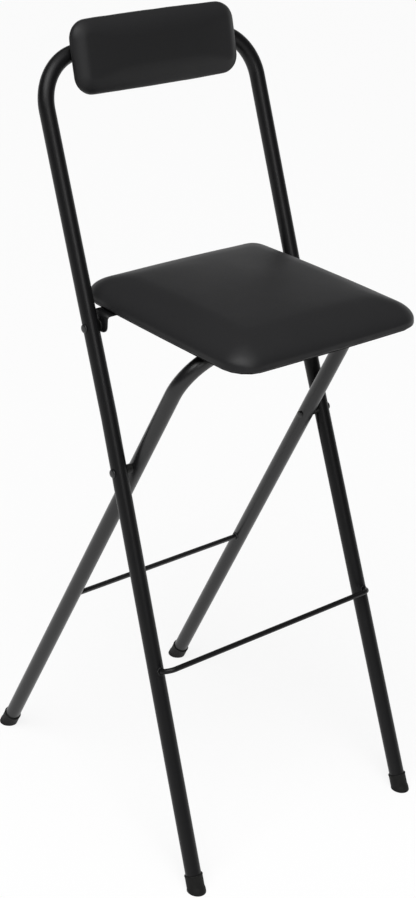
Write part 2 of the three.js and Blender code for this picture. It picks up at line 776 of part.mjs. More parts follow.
const earPrism = new THREE.ExtrudeGeometry(earOutline, {
  depth: 2 * uprightHalfWidth,
  bevelEnabled: false,
  curveSegments: bendSteps,
});
const earSpace = toManifold(layAlongX(earPrism, uprightHalfWidth));
const roundedStrap = toManifold(sweep(strapSection, strapStations)).intersect(earSpace);
const earHoles = sides.map(([, side]) => bore(
  seatShankDiameter / 2 + holeClearance,
  washerDiameter,
  new THREE.Vector3(side * earMiddleX, 0, 0),
  xAxis,
));
const flangeHoles = strapScrews.map(([, x, y]) => bore(
  pilotRadius,
  strapThickness,
  new THREE.Vector3(x, y, flangeMiddleZ),
  zAxis,
));
add(seat, 'seat_pivot_strap', cut(toGeometry(roundedStrap), [...earHoles, ...flangeHoles]), blackPaint);

// The stop strip is an angle: a flange over the bar and a lip down in front of it
const stripTop = seatPivotDrop - restGap;
const stripFrontY = barY - tubeRadius - barGap - stripThickness;
const stripRearY = barY + stripRear;
const stripInner = stripBendRadius - stripThickness;
const stripOutline = new THREE.Shape();
stripOutline.moveTo(stripRearY, stripTop);
stripOutline.absarc(
  stripFrontY + stripBendRadius,
  stripTop - stripBendRadius,
  stripBendRadius,
  0.5 * Math.PI,
  Math.PI,
);
stripOutline.lineTo(stripFrontY, stripTop - stripLipDrop);
stripOutline.lineTo(stripFrontY + stripThickness, stripTop - stripLipDrop);
stripOutline.absarc(
  stripFrontY + stripBendRadius,
  stripTop - stripBendRadius,
  stripInner,
  Math.PI,
  0.5 * Math.PI,
  true,
);
stripOutline.lineTo(stripRearY, stripTop - stripThickness);
const plainStrip = new THREE.ExtrudeGeometry(stripOutline, {
  depth: 2 * stripHalfLength,
  bevelEnabled: false,
  curveSegments: strapBendSteps,
});
const stripHoles = stripScrews.map(([, x, y]) => bore(
  pilotRadius,
  stripThickness,
  new THREE.Vector3(x, y, stripTop - stripThickness / 2),
  zAxis,
));
const stripBody = cut(layAlongX(plainStrip, stripHalfLength), stripHoles);
add(seat, 'seat_stop_strip', stripBody, blackPaint);

const boardScrew = (metalThickness) => screw(
  boardScrewDiameter,
  boardScrewHeadDiameter,
  boardScrewHeadHeight,
  metalThickness + 2 * restGap + boardScrewBite,
);
strapScrews.forEach(([name, x, y]) => {
  const seatOfHead = new THREE.Vector3(x, y, flangeTop - strapThickness - restGap);
  add(seat, name, aim(boardScrew(strapThickness), seatOfHead, zAxis), zincSteel);
});
stripScrews.forEach(([name, x, y]) => {
  const seatOfHead = new THREE.Vector3(x, y, stripTop - stripThickness - restGap);
  add(seat, name, aim(boardScrew(stripThickness), seatOfHead, zAxis), zincSteel);
});

export default stool;
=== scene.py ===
"""A folding bar stool: two crossed tube frames, an upholstered seat and a padded backrest.

Sizes are millimetres and repeat the solid model's named sizes. Each sub-assembly builds
its pieces in a local frame of its own and places them, in metres, where the solid model has
them.
"""

import logging
import math
from dataclasses import dataclass, field, replace
from enum import Enum
from typing import Callable, Sequence

import bmesh
import bpy
from mathutils import Matrix, Vector, noise


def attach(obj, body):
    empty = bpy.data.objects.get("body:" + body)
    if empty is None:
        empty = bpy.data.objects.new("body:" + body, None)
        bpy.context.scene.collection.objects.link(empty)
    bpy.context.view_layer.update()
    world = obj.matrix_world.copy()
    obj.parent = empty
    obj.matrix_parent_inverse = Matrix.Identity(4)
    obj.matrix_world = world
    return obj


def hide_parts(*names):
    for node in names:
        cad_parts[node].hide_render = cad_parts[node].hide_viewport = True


MM = 0.001
LOG = logging.getLogger("bar_stool")

SHARP_EDGE = math.radians(35)
BEVEL_STEPS = 3

X_AXIS = Vector((1, 0, 0))
Y_AXIS = Vector((0, 1, 0))
Z_AXIS = Vector((0, 0, 1))


class Side(Enum):
    """A side of the stool, with the sign of its X coordinates."""

    LEFT = -1
    RIGHT = 1

    @property
    def label(self) -> str:
        """The side's name as the nodes' names hold it."""
        return self.name.lower()


class Body(Enum):
    """The bodies that the pieces ride on."""

    FRONT_FRAME = "front_frame"
    REAR_FRAME = "rear_frame"
    SEAT = "seat"


# Finishes

Tree = bpy.types.NodeTree
Socket = bpy.types.NodeSocket


def linear(hex_colour: str) -> tuple[float, float, float, float]:
    """Turns an sRGB hex colour into the linear values that the shaders take.

    Args:
        hex_colour: The colour as "#rrggbb".

    Returns:
        Linear red, green, blue and an alpha of 1.
    """
    channels = [int(hex_colour[i : i + 2], 16) / 255 for i in (1, 3, 5)]
    red, green, blue = (
        c / 12.92 if c <= 0.04045 else ((c + 0.055) / 1.055) ** 2.4 for c in channels
    )
    return red, green, blue, 1.0


def add_node(
    tree: Tree,
    kind: str,
    settings: dict[str, object] | None = None,
    links: dict[str, Socket] | None = None,
) -> bpy.types.Node:
    """Adds one node to a tree, with its settings and the links into it.

    Args:
        tree: The tree that gets the node.
        kind: The node's Blender type name, without its first word, ShaderNode.
        settings: Values by the name of a property, or by the name or number of an input.
        links: Output sockets of other nodes by the name or number of an input.

    Returns:
        The new node.
    """
    node = tree.nodes.new(f"ShaderNode{kind}")
    for name, value in (settings or {}).items():
        if hasattr(node, name):
            setattr(node, name, value)
        else:
            node.inputs[int(name) if name.isdigit() else name].default_value = value
    for name, socket in (links or {}).items():
        tree.links.new(socket, node.inputs[int(name) if name.isdigit() else name])
    return node


def clear_tree(owner: bpy.types.Material | bpy.types.World) -> Tree:
    """Gives a material or a world an empty tree.

    Args:
        owner: The material or the world.

    Returns:
        Its tree.
    """
    owner.use_nodes = True
    owner.node_tree.nodes.clear()
    return owner.node_tree


@dataclass(frozen=True)
class Grain:
    """A fine pattern on a surface.

    Attributes:
        width: How wide its features are, in millimetres.
        detail: How many finer layers lie over them.
        roughness: How strongly the finer layers show.
        distortion: How far the pattern is bent.
    """

    width: float
    detail: float = 2.0
    roughness: float = 0.5
    distortion: float = 0.0

    @property
    def scale(self) -> float:
        """The texture scale that gives this width."""
        return 1 / (self.width * MM)

    @property
    def noise(self) -> dict[str, object]:
        """The settings of noise with this grain."""
        settings = {"Scale": self.scale, "Detail": self.detail}
        return settings | {"Roughness": self.roughness, "Distortion": self.distortion}


@dataclass(frozen=True)
class Shading:
    """The nodes of a material in the making.

    Attributes:
        tree: The material's tree.
        shader: Its Principled shader.
        place: Where on the piece a point lies, in metres.
    """

    tree: Tree
    shader: bpy.types.Node
    place: Socket


@dataclass(frozen=True)
class Finish:
    """What a surface is made of and how it was made.

    It has patches of a second tone and a fine relief.

    Attributes:
        name: The material's name.
        slot: The record's material slot that it dresses.
        colour: The surface's own colour.
        roughness: The middle of its roughness.
        patch_colour: The colour of its patches.
        specular: How strongly it shines, with 0.5 for plain plastic.
        metallic: 1 for bare metal.
        spread: What is added to the roughness outside the patches and inside them.
        patches: The patches' pattern.
        relief: The relief's pattern.
        relief_strength: How strongly the relief shows.
        relief_depth: How deep it goes, in millimetres.
    """

    name: str
    slot: str
    colour: str
    roughness: float
    patch_colour: str = "#303031"
    specular: float = 0.5
    metallic: float = 0.0
    spread: tuple[float, float] = (-0.05, 0.15)
    patches: Grain = Grain(10.0)
    relief: Grain = Grain(1.0)
    relief_strength: float = 0.2
    relief_depth: float = 0.05

    def material(self) -> bpy.types.Material:
        """Makes the finish's material the first time that it is asked for.

        Returns:
            The material.
        """
        known = bpy.data.materials.get(self.name)
        if known:
            return known
        material = bpy.data.materials.new(self.name)
        tree = clear_tree(material)
        shader = add_node(
            tree,
            "BsdfPrincipled",
            {
                "Roughness": self.roughness,
                "Metallic": self.metallic,
                "Specular IOR Level": self.specular,
            },
        )
        add_node(tree, "OutputMaterial", None, {"Surface": shader.outputs["BSDF"]})
        place = add_node(tree, "TexCoord").outputs["Object"]
        self.dress(Shading(tree, shader, place))
        return material

    def dress(self, shading: Shading) -> None:
        """Adds the patches and the relief.

        Args:
            shading: The material's nodes so far.
        """
        links = {"Vector": shading.place}
        patches = add_node(shading.tree, "TexNoise", self.patches.noise, links)
        relief = add_node(shading.tree, "TexNoise", self.relief.noise, links)
        self.lay(shading, patches.outputs["Fac"], relief.outputs["Fac"])

    def lay(self, shading: Shading, factor: Socket, height: Socket) -> None:
        """Lays the two tones and the relief on the surface.

        Args:
            shading: The material's nodes so far.
            factor: 0 outside the patches and 1 inside them.
            height: The relief's height.
        """
        tree, inputs = shading.tree, shading.shader.inputs
        tones = {"6": linear(self.colour), "7": linear(self.patch_colour)}
        tone = add_node(tree, "Mix", {"data_type": "RGBA", **tones}, {"0": factor})
        ends = {"To Min": self.roughness + self.spread[0]}
        ends["To Max"] = self.roughness + self.spread[1]
        rough = add_node(tree, "MapRange", ends, {"Value": factor})
        bumps = {"Strength": self.relief_strength, "Distance": self.relief_depth * MM}
        bump = add_node(tree, "Bump", bumps, {"Height": height})
        tree.links.new(tone.outputs[2], inputs["Base Color"])
        tree.links.new(rough.outputs["Result"], inputs["Roughness"])
        tree.links.new(bump.outputs["Normal"], inputs["Normal"])


@dataclass(frozen=True)
class PowderCoat(Finish):
    """Polyester powder coat on steel, sprayed and baked.

    It gives the eye a satin film with the shallow dimples called orange peel, a little
    thicker or thinner over the length of a tube, and a few pale rubs from handling.
    """

    spread: tuple[float, float] = (-0.03, 0.2)
    patches: Grain = Grain(60.0, detail=3.0)
    patch_share: float = 0.12
    rubs: Grain = Grain(14.0, detail=8.0, roughness=0.7)
    rub_range: tuple[float, float] = (0.62, 0.8)
    rub_share: float = 0.5
    relief: Grain = Grain(2.4, detail=1.0)
    relief_strength: float = 0.16

    def dress(self, shading: Shading) -> None:
        """Adds the film's patches, its rubs and its orange peel.

        Args:
            shading: The material's nodes so far.
        """
        tree, links = shading.tree, {"Vector": shading.place}
        patches, rubs, peel = (
            add_node(tree, "TexNoise", grain.noise, links).outputs["Fac"]
            for grain in (self.patches, self.rubs, self.relief)
        )
        ends = {"From Min": self.rub_range[0], "From Max": self.rub_range[1]}
        ends["To Max"] = self.rub_share
        rubbed = add_node(tree, "MapRange", ends, {"Value": rubs}).outputs["Result"]
        weights = {"operation": "MULTIPLY_ADD", "1": self.patch_share}
        both = add_node(tree, "Math", weights, {"0": patches, "2": rubbed})
        self.lay(shading, both.outputs[0], peel)


@dataclass(frozen=True)
class GrainedVinyl(Finish):
    """Leathercloth: vinyl cast on a knitted backing and embossed with a leather grain.

    It gives the eye a soft grey-black with a satin shine, small rounded pebbles, and a
    slightly smoother, shinier face where a sitter rubs it. The real pebbles are under a
    millimetre wide; they are drawn about twice that size, which still only just shows.
    """

    patch_colour: str = "#212122"
    specular: float = 0.22
    spread: tuple[float, float] = (0.07, -0.05)
    patches: Grain = Grain(90.0)
    pebbles: Grain = Grain(1.8)
    pebble_softness: float = 0.6
    pebble_tone: float = 0.35
    pebble_height: float = -0.6
    relief: Grain = Grain(0.9)
    relief_strength: float = 0.25
    relief_depth: float = 0.12
    sheen: float = 0.02
    sheen_roughness: float = 0.5

    def dress(self, shading: Shading) -> None:
        """Adds the pebbles, the pores and the rubbed patches.

        Args:
            shading: The material's nodes so far.
        """
        tree, links = shading.tree, {"Vector": shading.place}
        patches, pores = (
            add_node(tree, "TexNoise", grain.noise, links).outputs["Fac"]
            for grain in (self.patches, self.relief)
        )
        cells = {"feature": "SMOOTH_F1", "Scale": self.pebbles.scale}
        cells["Smoothness"] = self.pebble_softness
        pebbles = add_node(tree, "TexVoronoi", cells, links).outputs["Distance"]
        worn, grain = (
            add_node(
                tree,
                "Math",
                {"operation": "MULTIPLY_ADD", "1": weight},
                {"0": pebbles, "2": ground},
            ).outputs[0]
            for weight, ground in ((self.pebble_tone, patches), (self.pebble_height, pores))
        )
        self.lay(shading, worn, grain)
        shading.shader.inputs["Sheen Weight"].default_value = self.sheen
        shading.shader.inputs["Sheen Roughness"].default_value = self.sheen_roughness


@dataclass(frozen=True)
class MouldedPolymer(Finish):
    """Rubber or nylon, injection moulded in a spark-eroded mould.

    It gives the eye a dull black with a fine even stipple and dust in patches.
    """

    patch_colour: str = "#1e1e1d"
    specular: float = 0.2
    spread: tuple[float, float] = (-0.05, 0.12)
    patches: Grain = Grain(9.0, detail=5.0)
    relief: Grain = Grain(0.8)
    relief_strength: float = 0.3
    relief_depth: float = 0.06


@dataclass(frozen=True)
class PlatedSteel(Finish):
    """Mild steel, cold headed and electroplated with zinc.

    It gives the eye a bright metal with fine turning marks and a faint haze.
    """

    patch_colour: str = "#8d8d8b"
    metallic: float = 1.0
    patches: Grain = Grain(3.0, detail=4.0)
    relief: Grain = Grain(0.35, detail=1.0)
    relief_strength: float = 0.15
    relief_depth: float = 0.02


@dataclass(frozen=True)
class PaintedPlywood(Finish):
    """Birch plywood, sawn, sanded and sprayed black.

    The thin paint sinks in and hardly shines. It gives the eye a dull black in which the
    raised grain still runs in long streaks.
    """

    patch_colour: str = "#1a1918"
    specular: float = 0.08
    spread: tuple[float, float] = (-0.08, 0.1)
    patches: Grain = Grain(2.2, detail=4.0, distortion=0.4)
    relief: Grain = Grain(2.2, detail=4.0, distortion=0.4)
    relief_strength: float = 0.35
    relief_depth: float = 0.12
    grain_stretch: float = 14.0

    def dress(self, shading: Shading) -> None:
        """Adds the streaks of the grain, in colour and in relief.

        Args:
            shading: The material's nodes so far.
        """
        settings = {"Scale": (1 / self.grain_stretch, 1.0, 1.0)}
        stretched = add_node(shading.tree, "Mapping", settings, {"Vector": shading.place})
        super().dress(replace(shading, place=stretched.outputs["Vector"]))


# Painted shade: the front coat is the rear's powder coat made darker, with darker rubs and
# less shine, for the less light that the front tubes reflect.
SHADED_FRONT_COAT = PowderCoat(
    "satin_powder_coat_front",
    "front_frame_paint",
    "#0e0e0f",
    0.4,
    patch_colour="#232324",
    specular=0.24,
)
REAR_COAT = PowderCoat("satin_powder_coat_rear", "rear_frame_paint", "#161617", 0.33)
COVER = GrainedVinyl("embossed_vinyl_leathercloth", "cover_vinyl", "#1b1b1c", 0.5)
CAP_RUBBER = MouldedPolymer("moulded_rubber", "foot_rubber", "#0a0a0a", 0.6)
SPACER_NYLON = MouldedPolymer("moulded_nylon", "spacer_plastic", "#151515", 0.42)
RIVET_BLACK = PowderCoat("satin_powder_coat_rivet", "rivet_steel", "#121213", 0.3)
SCREW_ZINC = PlatedSteel("zinc_plated_steel", "screw_steel", "#a4a6a8", 0.34)
BOARD = PaintedPlywood("sprayed_birch_plywood", "board_wood", "#0c0c0c", 0.7)


# Mesh work

POINT_RADIUS = 1e-3


def rounded_route(
    corners: Sequence[Vector], radii: Sequence[float], steps: int
) -> list[Vector]:
    """Rounds each inner corner of a route with a bend.

    Args:
        corners: The route's ends and corners, in order.
        radii: One bend radius for each inner corner.
        steps: How many steps each bend has.

    Returns:
        The points along the route.
    """
    route = [corners[0].copy()]
    for index, radius in enumerate(radii):
        corner = corners[index + 1]
        back = (corners[index] - corner).normalized()
        ahead = (corners[index + 2] - corner).normalized()
        half_angle = back.angle(ahead) / 2
        centre = corner + (back + ahead).normalized() * (radius / math.sin(half_angle))
        spoke = corner + back * (radius / math.tan(half_angle)) - centre
        hinge = ahead.cross(back).normalized()
        for step in range(steps + 1):
            turn = (math.pi - 2 * half_angle) * step / steps
            route.append(centre + Matrix.Rotation(turn, 3, hinge) @ spoke)
    route.append(corners[-1].copy())
    return route


def circle(radius: float, sides: int) -> list[tuple[float, float]]:
    """The points of a circle about the origin."""
    turns = (2 * math.pi * i / sides for i in range(sides))
    return [(radius * math.cos(turn), radius * math.sin(turn)) for turn in turns]


def arc(
    centre: tuple[float, float], radius: float, start: float, end: float, steps: int
) -> list[tuple[float, float]]:
    """The points of an arc.

    Args:
        centre: Where its centre lies.
        radius: Its radius.
        start: The angle at its first point, in radians.
        end: The angle at its last point.
        steps: How many steps it has.

    Returns:
        Its points, from the first to the last.
    """
    points = []
    for step in range(steps + 1):
        turn = start + (end - start) * step / steps
        x = centre[0] + radius * math.cos(turn)
        points.append((x, centre[1] + radius * math.sin(turn)))
    return points


@dataclass
class Piece:
    """A mesh in the making, in millimetres, in the local frame of its sub-assembly.

    Attributes:
        name: The object's name.
        finish: What its surface is made of.
        body: The body that it rides on.
        nodes: The solid model's nodes that it stands for.
    """

    name: str
    finish: Finish
    body: Body
    nodes: tuple[str, ...] = ()
    points: list[Vector] = field(default_factory=list)
    faces: list[tuple[int, ...]] = field(default_factory=list)

    def loop(self, points: Sequence[Vector]) -> list[int]:
        """Adds points.

        Args:
            points: The points.

        Returns:
            Their numbers.
        """
        first = len(self.points)
        self.points.extend(points)
        return list(range(first, len(self.points)))

    def ring(self, place: Matrix, radius: float, height: float, sides: int) -> list[int]:
        """Adds a ring of points about the Z axis of a placed frame.

        Args:
            place: The frame.
            radius: The ring's radius, or 0 for the end of a point.
            height: How high it lies.
            sides: How many points it has.

        Returns:
            The points' numbers.
        """
        points = circle(max(radius, POINT_RADIUS), sides)
        return self.loop([place @ Vector((x, y, height)) for x, y in points])

    def bridge(self, first: Sequence[int], second: Sequence[int]) -> None:
        """Joins two loops of the same length with a band of faces.

        Args:
            first: The numbers of the first loop's points.
            second: Those of the second loop's points.
        """
        count = len(first)
        for i in range(count):
            j = (i + 1) % count
            self.faces.append((first[i], first[j], second[j], second[i]))

    def skin(self, loops: Sequence[list[int]]) -> None:
        """Joins loops in their order and closes the first and the last.

        Args:
            loops: The numbers of each loop's points.
        """
        for first, second in zip(loops, loops[1:]):
            self.bridge(first, second)
        self.faces += [tuple(loops[0][::-1]), tuple(loops[-1])]

    def sweep(
        self,
        route: Sequence[Vector],
        normal: Vector,
        section: Callable[[float], list[tuple[float, float]]],
        closed: bool = False,
    ) -> None:
        """Sweeps a section along a route that lies in a plane, or nearly so.

        Args:
            route: The points along the route.
            normal: The plane's normal, which the section's second axis follows.
            section: The section's points at a distance along the route.
            closed: Whether the route runs round.
        """
        loops = []
        count = len(route)
        travelled = 0.0
        for i, point in enumerate(route):
            before = route[i - 1] if i or closed else point
            after = route[(i + 1) % count] if i < count - 1 or closed else point
            along = (after - before).normalized()
            across = normal.cross(along).normalized()
            up = along.cross(across)
            if i:
                travelled += (point - route[i - 1]).length
            loops.append(
                self.loop([point + across * a + up * b for a, b in section(travelled)])
            )
        if not closed:
            self.skin(loops)
            return
        for first, second in zip(loops, loops[1:] + loops[:1]):
            self.bridge(first, second)

    def turn(
        self, profile: Sequence[tuple[float, float]], place: Matrix, sides: int
    ) -> None:
        """Turns a profile about the Z axis of a placed frame.

        Args:
            profile: Pairs of a radius and a height; a radius of 0 closes the end.
            place: The frame that the shape is made in.
            sides: How many sides the round has.
        """
        self.skin([self.ring(place, radius, height, sides) for radius, height in profile])

    def prism(
        self, outline: Sequence[tuple[float, float]], place: Matrix, low: float, high: float
    ) -> None:
        """Raises a flat outline along the Z axis of a placed frame.

        Args:
            outline: The outline's points, anticlockwise.
            place: The frame that the shape is made in.
            low: The height of its lower face.
            high: The height of its upper face.
        """
        ends = [[place @ Vector((x, y, z)) for x, y in outline] for z in (low, high)]
        self.skin([self.loop(end) for end in ends])

    def make(
        self, place: Matrix, bevel: float = 0.0, sharp: float = SHARP_EDGE
    ) -> bpy.types.Object:
        """Makes the object, dresses it and hangs it on its body.

        Args:
            place: Where the local frame stands on the stool, in millimetres.
            bevel: The width of the rounding along sharp edges, in millimetres.
            sharp: The angle from which an edge counts as sharp.

        Returns:
            The object.
        """
        mesh = bpy.data.meshes.new(self.name)
        mesh.from_pydata([(place @ p) * MM for p in self.points], [], self.faces)
        shape = bmesh.new()
        shape.from_mesh(mesh)
        bmesh.ops.recalc_face_normals(shape, faces=shape.faces)
        shape.to_mesh(mesh)
        shape.free()
        mesh.shade_smooth()
        mesh.set_sharp_from_angle(angle=sharp)
        piece = bpy.data.objects.new(self.name, mesh)
        bpy.context.scene.collection.objects.link(piece)
        if bevel:
            rounding = piece.modifiers.new("rounded_edges", "BEVEL")
            rounding.width = bevel * MM
            rounding.segments = BEVEL_STEPS
            rounding.limit_method = "ANGLE"
            rounding.angle_limit = sharp
            rounding.harden_normals = True
        mesh.materials.append(self.finish.material())
        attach(piece, self.body.value)
        if self.nodes:
            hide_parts(*self.nodes)
        LOG.info("%s: %d faces on %s", self.name, len(mesh.polygons), self.body.value)
        return piece


def aimed(point: Vector, direction: Vector) -> Matrix:
    """A frame at a point whose Z axis points in a direction."""
    turn = Z_AXIS.rotation_difference(direction.normalized()).to_matrix().to_4x4()
    return Matrix.Translation(point) @ turn


# Sizes that the sub-assemblies share


@dataclass(frozen=True)
class Stance:
    """How the two frames stand and cross, in millimetres and radians."""

    tube_diameter: float = 22.0
    rod_diameter: float = 7.5
    rest_gap: float = 0.3
    foot_spread: float = 480.0
    front_lean: float = math.radians(22.1)
    rear_lean: float = math.radians(25.7)
    seat_bar_height: float = 727.5
    back_bar_height: float = 1055.0
    upright_half_width: float = 185.4
    foot_splay: float = 14.0
    splay_height: float = 610.0
    pivot_spacer_length: float = 8.6
    rear_splay: float = math.radians(1.24)
    bar_gap: float = 0.4
    strip_thickness: float = 1.8
    seat_pivot_drop: float = 18.0
    strap_thickness: float = 2.3
    washer_thickness: float = 1.9
    cap_floor: float = 4.0

    @property
    def tube_radius(self) -> float:
        """Half the frame tube's diameter."""
        return self.tube_diameter / 2

    @property
    def front_foot_half_width(self) -> float:
        """From the middle to a front foot."""
        return self.upright_half_width + self.foot_splay

    @property
    def cross_height(self) -> float:
        """How high the two frames cross."""
        return self.foot_spread / (math.tan(self.front_lean) + math.tan(self.rear_lean))

    def front_along(self, height: float) -> float:
        """How far up the front frame a height lies."""
        return height / math.cos(self.front_lean)

    def rear_along(self, height: float) -> float:
        """How far up the rear frame a height lies."""
        return height / math.cos(self.rear_lean)

    @property
    def leg_splay(self) -> float:
        """The angle by which a front leg spreads."""
        return math.atan(self.foot_splay / self.front_along(self.splay_height))

    def leg_half_width(self, along: float) -> float:
        """From the middle to a front leg, so far up the frame."""
        return self.front_foot_half_width - along * math.tan(self.leg_splay)

    @property
    def front_pivot_half_width(self) -> float:
        """From the middle to the front leg's axis at the main pivot."""
        return self.leg_half_width(self.front_along(self.cross_height))

    @property
    def rear_pivot_half_width(self) -> float:
        """From the middle to the rear leg's axis at the main pivot."""
        return self.front_pivot_half_width - self.tube_diameter - self.pivot_spacer_length

    def rear_half_width(self, along: float) -> float:
        """From the middle to a rear leg, so far up the frame."""
        above = self.rear_along(self.cross_height) - along
        return self.rear_pivot_half_width + above * math.tan(self.rear_splay)

    @property
    def seat_underside(self) -> float:
        """The height of the seat board's lower face."""
        bar_top = self.seat_bar_height + self.tube_radius
        return bar_top + self.bar_gap + self.strip_thickness + self.rest_gap

    @property
    def seat_pivot(self) -> Vector:
        """Where the seat turns, on the middle line.

        Returns:
            The point.
        """
        height = self.seat_underside - self.seat_pivot_drop
        depth = height * math.tan(self.front_lean) - self.foot_spread / 2
        return Vector((0, depth, height))

    @property
    def front_plane(self) -> Matrix:
        """The front frame's own frame: Z up along it, -Y the side that faces forward."""
        stand = Matrix.Translation((0, -self.foot_spread / 2, 0))
        return stand @ Matrix.Rotation(-self.front_lean, 4, "X")

    @property
    def rear_plane(self) -> Matrix:
        """The rear frame's own frame, which leans the other way."""
        stand = Matrix.Translation((0, self.foot_spread / 2, 0))
        return stand @ Matrix.Rotation(self.rear_lean, 4, "X")


STANCE = Stance()


# Parts that both frames have


# The foot cap's flare above the floor: shares of the flare and of the cap's floor
CAP_FLARE = ((1.0, 0.5), (0.7, 0.8), (0.125, 1.2), (0.0, 1.7))

# The foot cap's lip: shares of its width, and of its height down from the top
CAP_LIP = ((0.0, 1.2), (0.6, 0.92), (1.0, 0.5), (0.8, 0.2), (-0.5, 0.02))


@dataclass(frozen=True)
class FootCap:
    """A rubber cap pressed over a tube's end and cut flat where it stands.

    Attributes:
        below_floor: How far the shape runs below the floor before it is cut.
        mouth_depth: How far the cap's mouth is seen into.
        mouth_grip: How far the mouth's edge reaches into the tube's wall.
    """

    length: float = 19.5
    wall: float = 1.1
    base_flare: float = 0.8
    lip: float = 0.4
    lip_height: float = 2.5
    edge_round: float = 0.7
    below_floor: float = 20.0
    mouth_depth: float = 3.0
    mouth_grip: float = 0.4
    sides: int = 64

    @property
    def profile(self) -> list[tuple[float, float]]:
        """Radius and height from below the floor up round the lip and into the bore.

        Returns:
            The profile's points.
        """
        bore = STANCE.tube_radius + STANCE.rest_gap
        outer = bore + self.wall
        floor, top = STANCE.cap_floor, self.length + STANCE.cap_floor
        mouth, lip, drop = bore - self.mouth_grip, self.lip, self.lip_height
        return [
            (outer + self.base_flare, -self.below_floor),
            *((outer + self.base_flare * out, floor * up) for out, up in CAP_FLARE),
            *((outer + lip * out, top - drop * down) for out, down in CAP_LIP),
            (mouth, top),
            (mouth, top - self.mouth_depth),
        ]

    def build(self, name: str, body: Body, plane: Matrix, foot: Vector, up: Vector) -> None:
        """Builds one cap.

        Args:
            name: Its node's name.
            body: The body that it rides on.
            plane: The frame's own frame.
            foot: Where the leg's axis meets the floor.
            up: The way up the leg.
        """
        piece = Piece(f"{name}_rubber", CAP_RUBBER, body, (name,))
        piece.turn(self.profile, aimed(foot, up), self.sides)
        cap = piece.make(plane)
        shape = bmesh.new()
        shape.from_mesh(cap.data)
        everything = shape.verts[:] + shape.edges[:] + shape.faces[:]
        below = {"plane_co": (0, 0, 0), "plane_no": (0, 0, 1), "clear_inner": True}
        sliced = bmesh.ops.bisect_plane(shape, geom=everything, **below)
        rim = [e for e in sliced["geom_cut"] if isinstance(e, bmesh.types.BMEdge)]
        sole = bmesh.ops.contextual_create(shape, geom=rim)["faces"]
        rim = [edge for face in sole for edge in face.edges]
        bevel = {"offset": self.edge_round * MM, "segments": BEVEL_STEPS, "profile": 0.5}
        bmesh.ops.bevel(shape, geom=rim, affect="EDGES", **bevel)
        bmesh.ops.recalc_face_normals(shape, faces=shape.faces)
        shape.to_mesh(cap.data)
        shape.free()
        cap.data.shade_smooth()
        cap.data.set_sharp_from_angle(angle=SHARP_EDGE)


@dataclass(frozen=True)
class WeldBead:
    """A weld run round a rod's end where it meets a tube, under the paint.

    Attributes:
        spread: How far outside the rod its middle runs, as a share of its thickness.
        ripple: How much it swells in each of its ripples.
    """

    thickness: float = 3.0
    spread: float = 0.3
    ripple: float = 0.35
    ripples: int = 16
    steps: int = 96
    sides: int = 12

    def build(
        self, piece: Piece, rod_end: Vector, rod_away: Vector, leg_up: Vector
    ) -> None:
        """Adds the bead to a piece, along the line where the rod meets the tube.

        Args:
            piece: The piece that gets the bead.
            rod_end: Where the rod's axis meets the leg's axis.
            rod_away: The way along the rod, away from the leg.
            leg_up: The way up the leg.
        """
        across = leg_up.cross(rod_away).normalized()
        reach = STANCE.rod_diameter / 2 + self.spread * self.thickness
        route = []
        for step in range(self.steps):
            turn = 2 * math.pi * step / self.steps
            aside = reach * math.cos(turn)
            depth = math.sqrt(STANCE.tube_radius**2 - aside**2)
            along = leg_up * (reach * math.sin(turn))
            route.append(rod_end + across * aside + along + rod_away * depth)
        length = sum((b - a).length for a, b in zip(route, route[1:] + route[:1]))

        def section(travelled: float) -> list[tuple[float, float]]:
            """The bead's round, swelling once in each ripple."""
            wave = abs(math.sin(math.pi * self.ripples * travelled / length))
            return circle(self.thickness / 2 + self.ripple * (wave - 0.5), self.sides)

        piece.sweep(route, rod_away, section, closed=True)


@dataclass(frozen=True)
class Rivet:
    """A steel rivet with a domed head and a formed tail.

    Attributes:
        tail_flat: The radius of the tail's flat end, as a share of the tail's.
        tail_dish: How far the flat end stands out.
        edge: The height of the head's straight edge.
    """

    shank: float = 6.0
    head: float = 12.0
    head_height: float = 2.2
    tail: float = 10.0
    tail_height: float = 1.8
    tail_flat: float = 0.3
    tail_dish: float = 0.1
    edge: float = 0.5
    chamfer: float = 0.2
    dome_steps: int = 8
    sides: int = 48

    def build(self, name: str, head_at: Vector, outward: Vector, grip: float) -> None:
        """Builds one rivet on the front frame.

        Args:
            name: Its node's name.
            head_at: The middle of the face that the head sits on.
            outward: The way that the head points.
            grip: The length between head and tail.
        """
        radius = self.tail / 2
        foot = -grip - self.tail_height
        profile = [
            (radius * self.tail_flat, foot),
            (radius - self.tail_height / 2, foot + self.tail_dish),
            (radius - self.tail_height / 5, foot + self.tail_height / 4),
            (radius, foot + self.tail_height * 0.6),
            (radius, -grip - self.chamfer),
            (radius - self.chamfer, -grip),
            (self.shank / 2, -grip),
            (self.shank / 2, 0),
            (self.head / 2 - self.chamfer, 0),
            (self.head / 2, self.chamfer),
            (self.head / 2, self.edge),
        ]
        for step in range(1, self.dome_steps + 1):
            turn = step / self.dome_steps * math.pi / 2
            rise = self.edge + (self.head_height - self.edge) * math.sin(turn)
            profile.append((self.head / 2 * math.cos(turn), rise))
        piece = Piece(f"{name}_sprayed", RIVET_BLACK, Body.FRONT_FRAME, (name,))
        piece.turn(profile, aimed(head_at, outward), self.sides)
        piece.make(STANCE.front_plane)


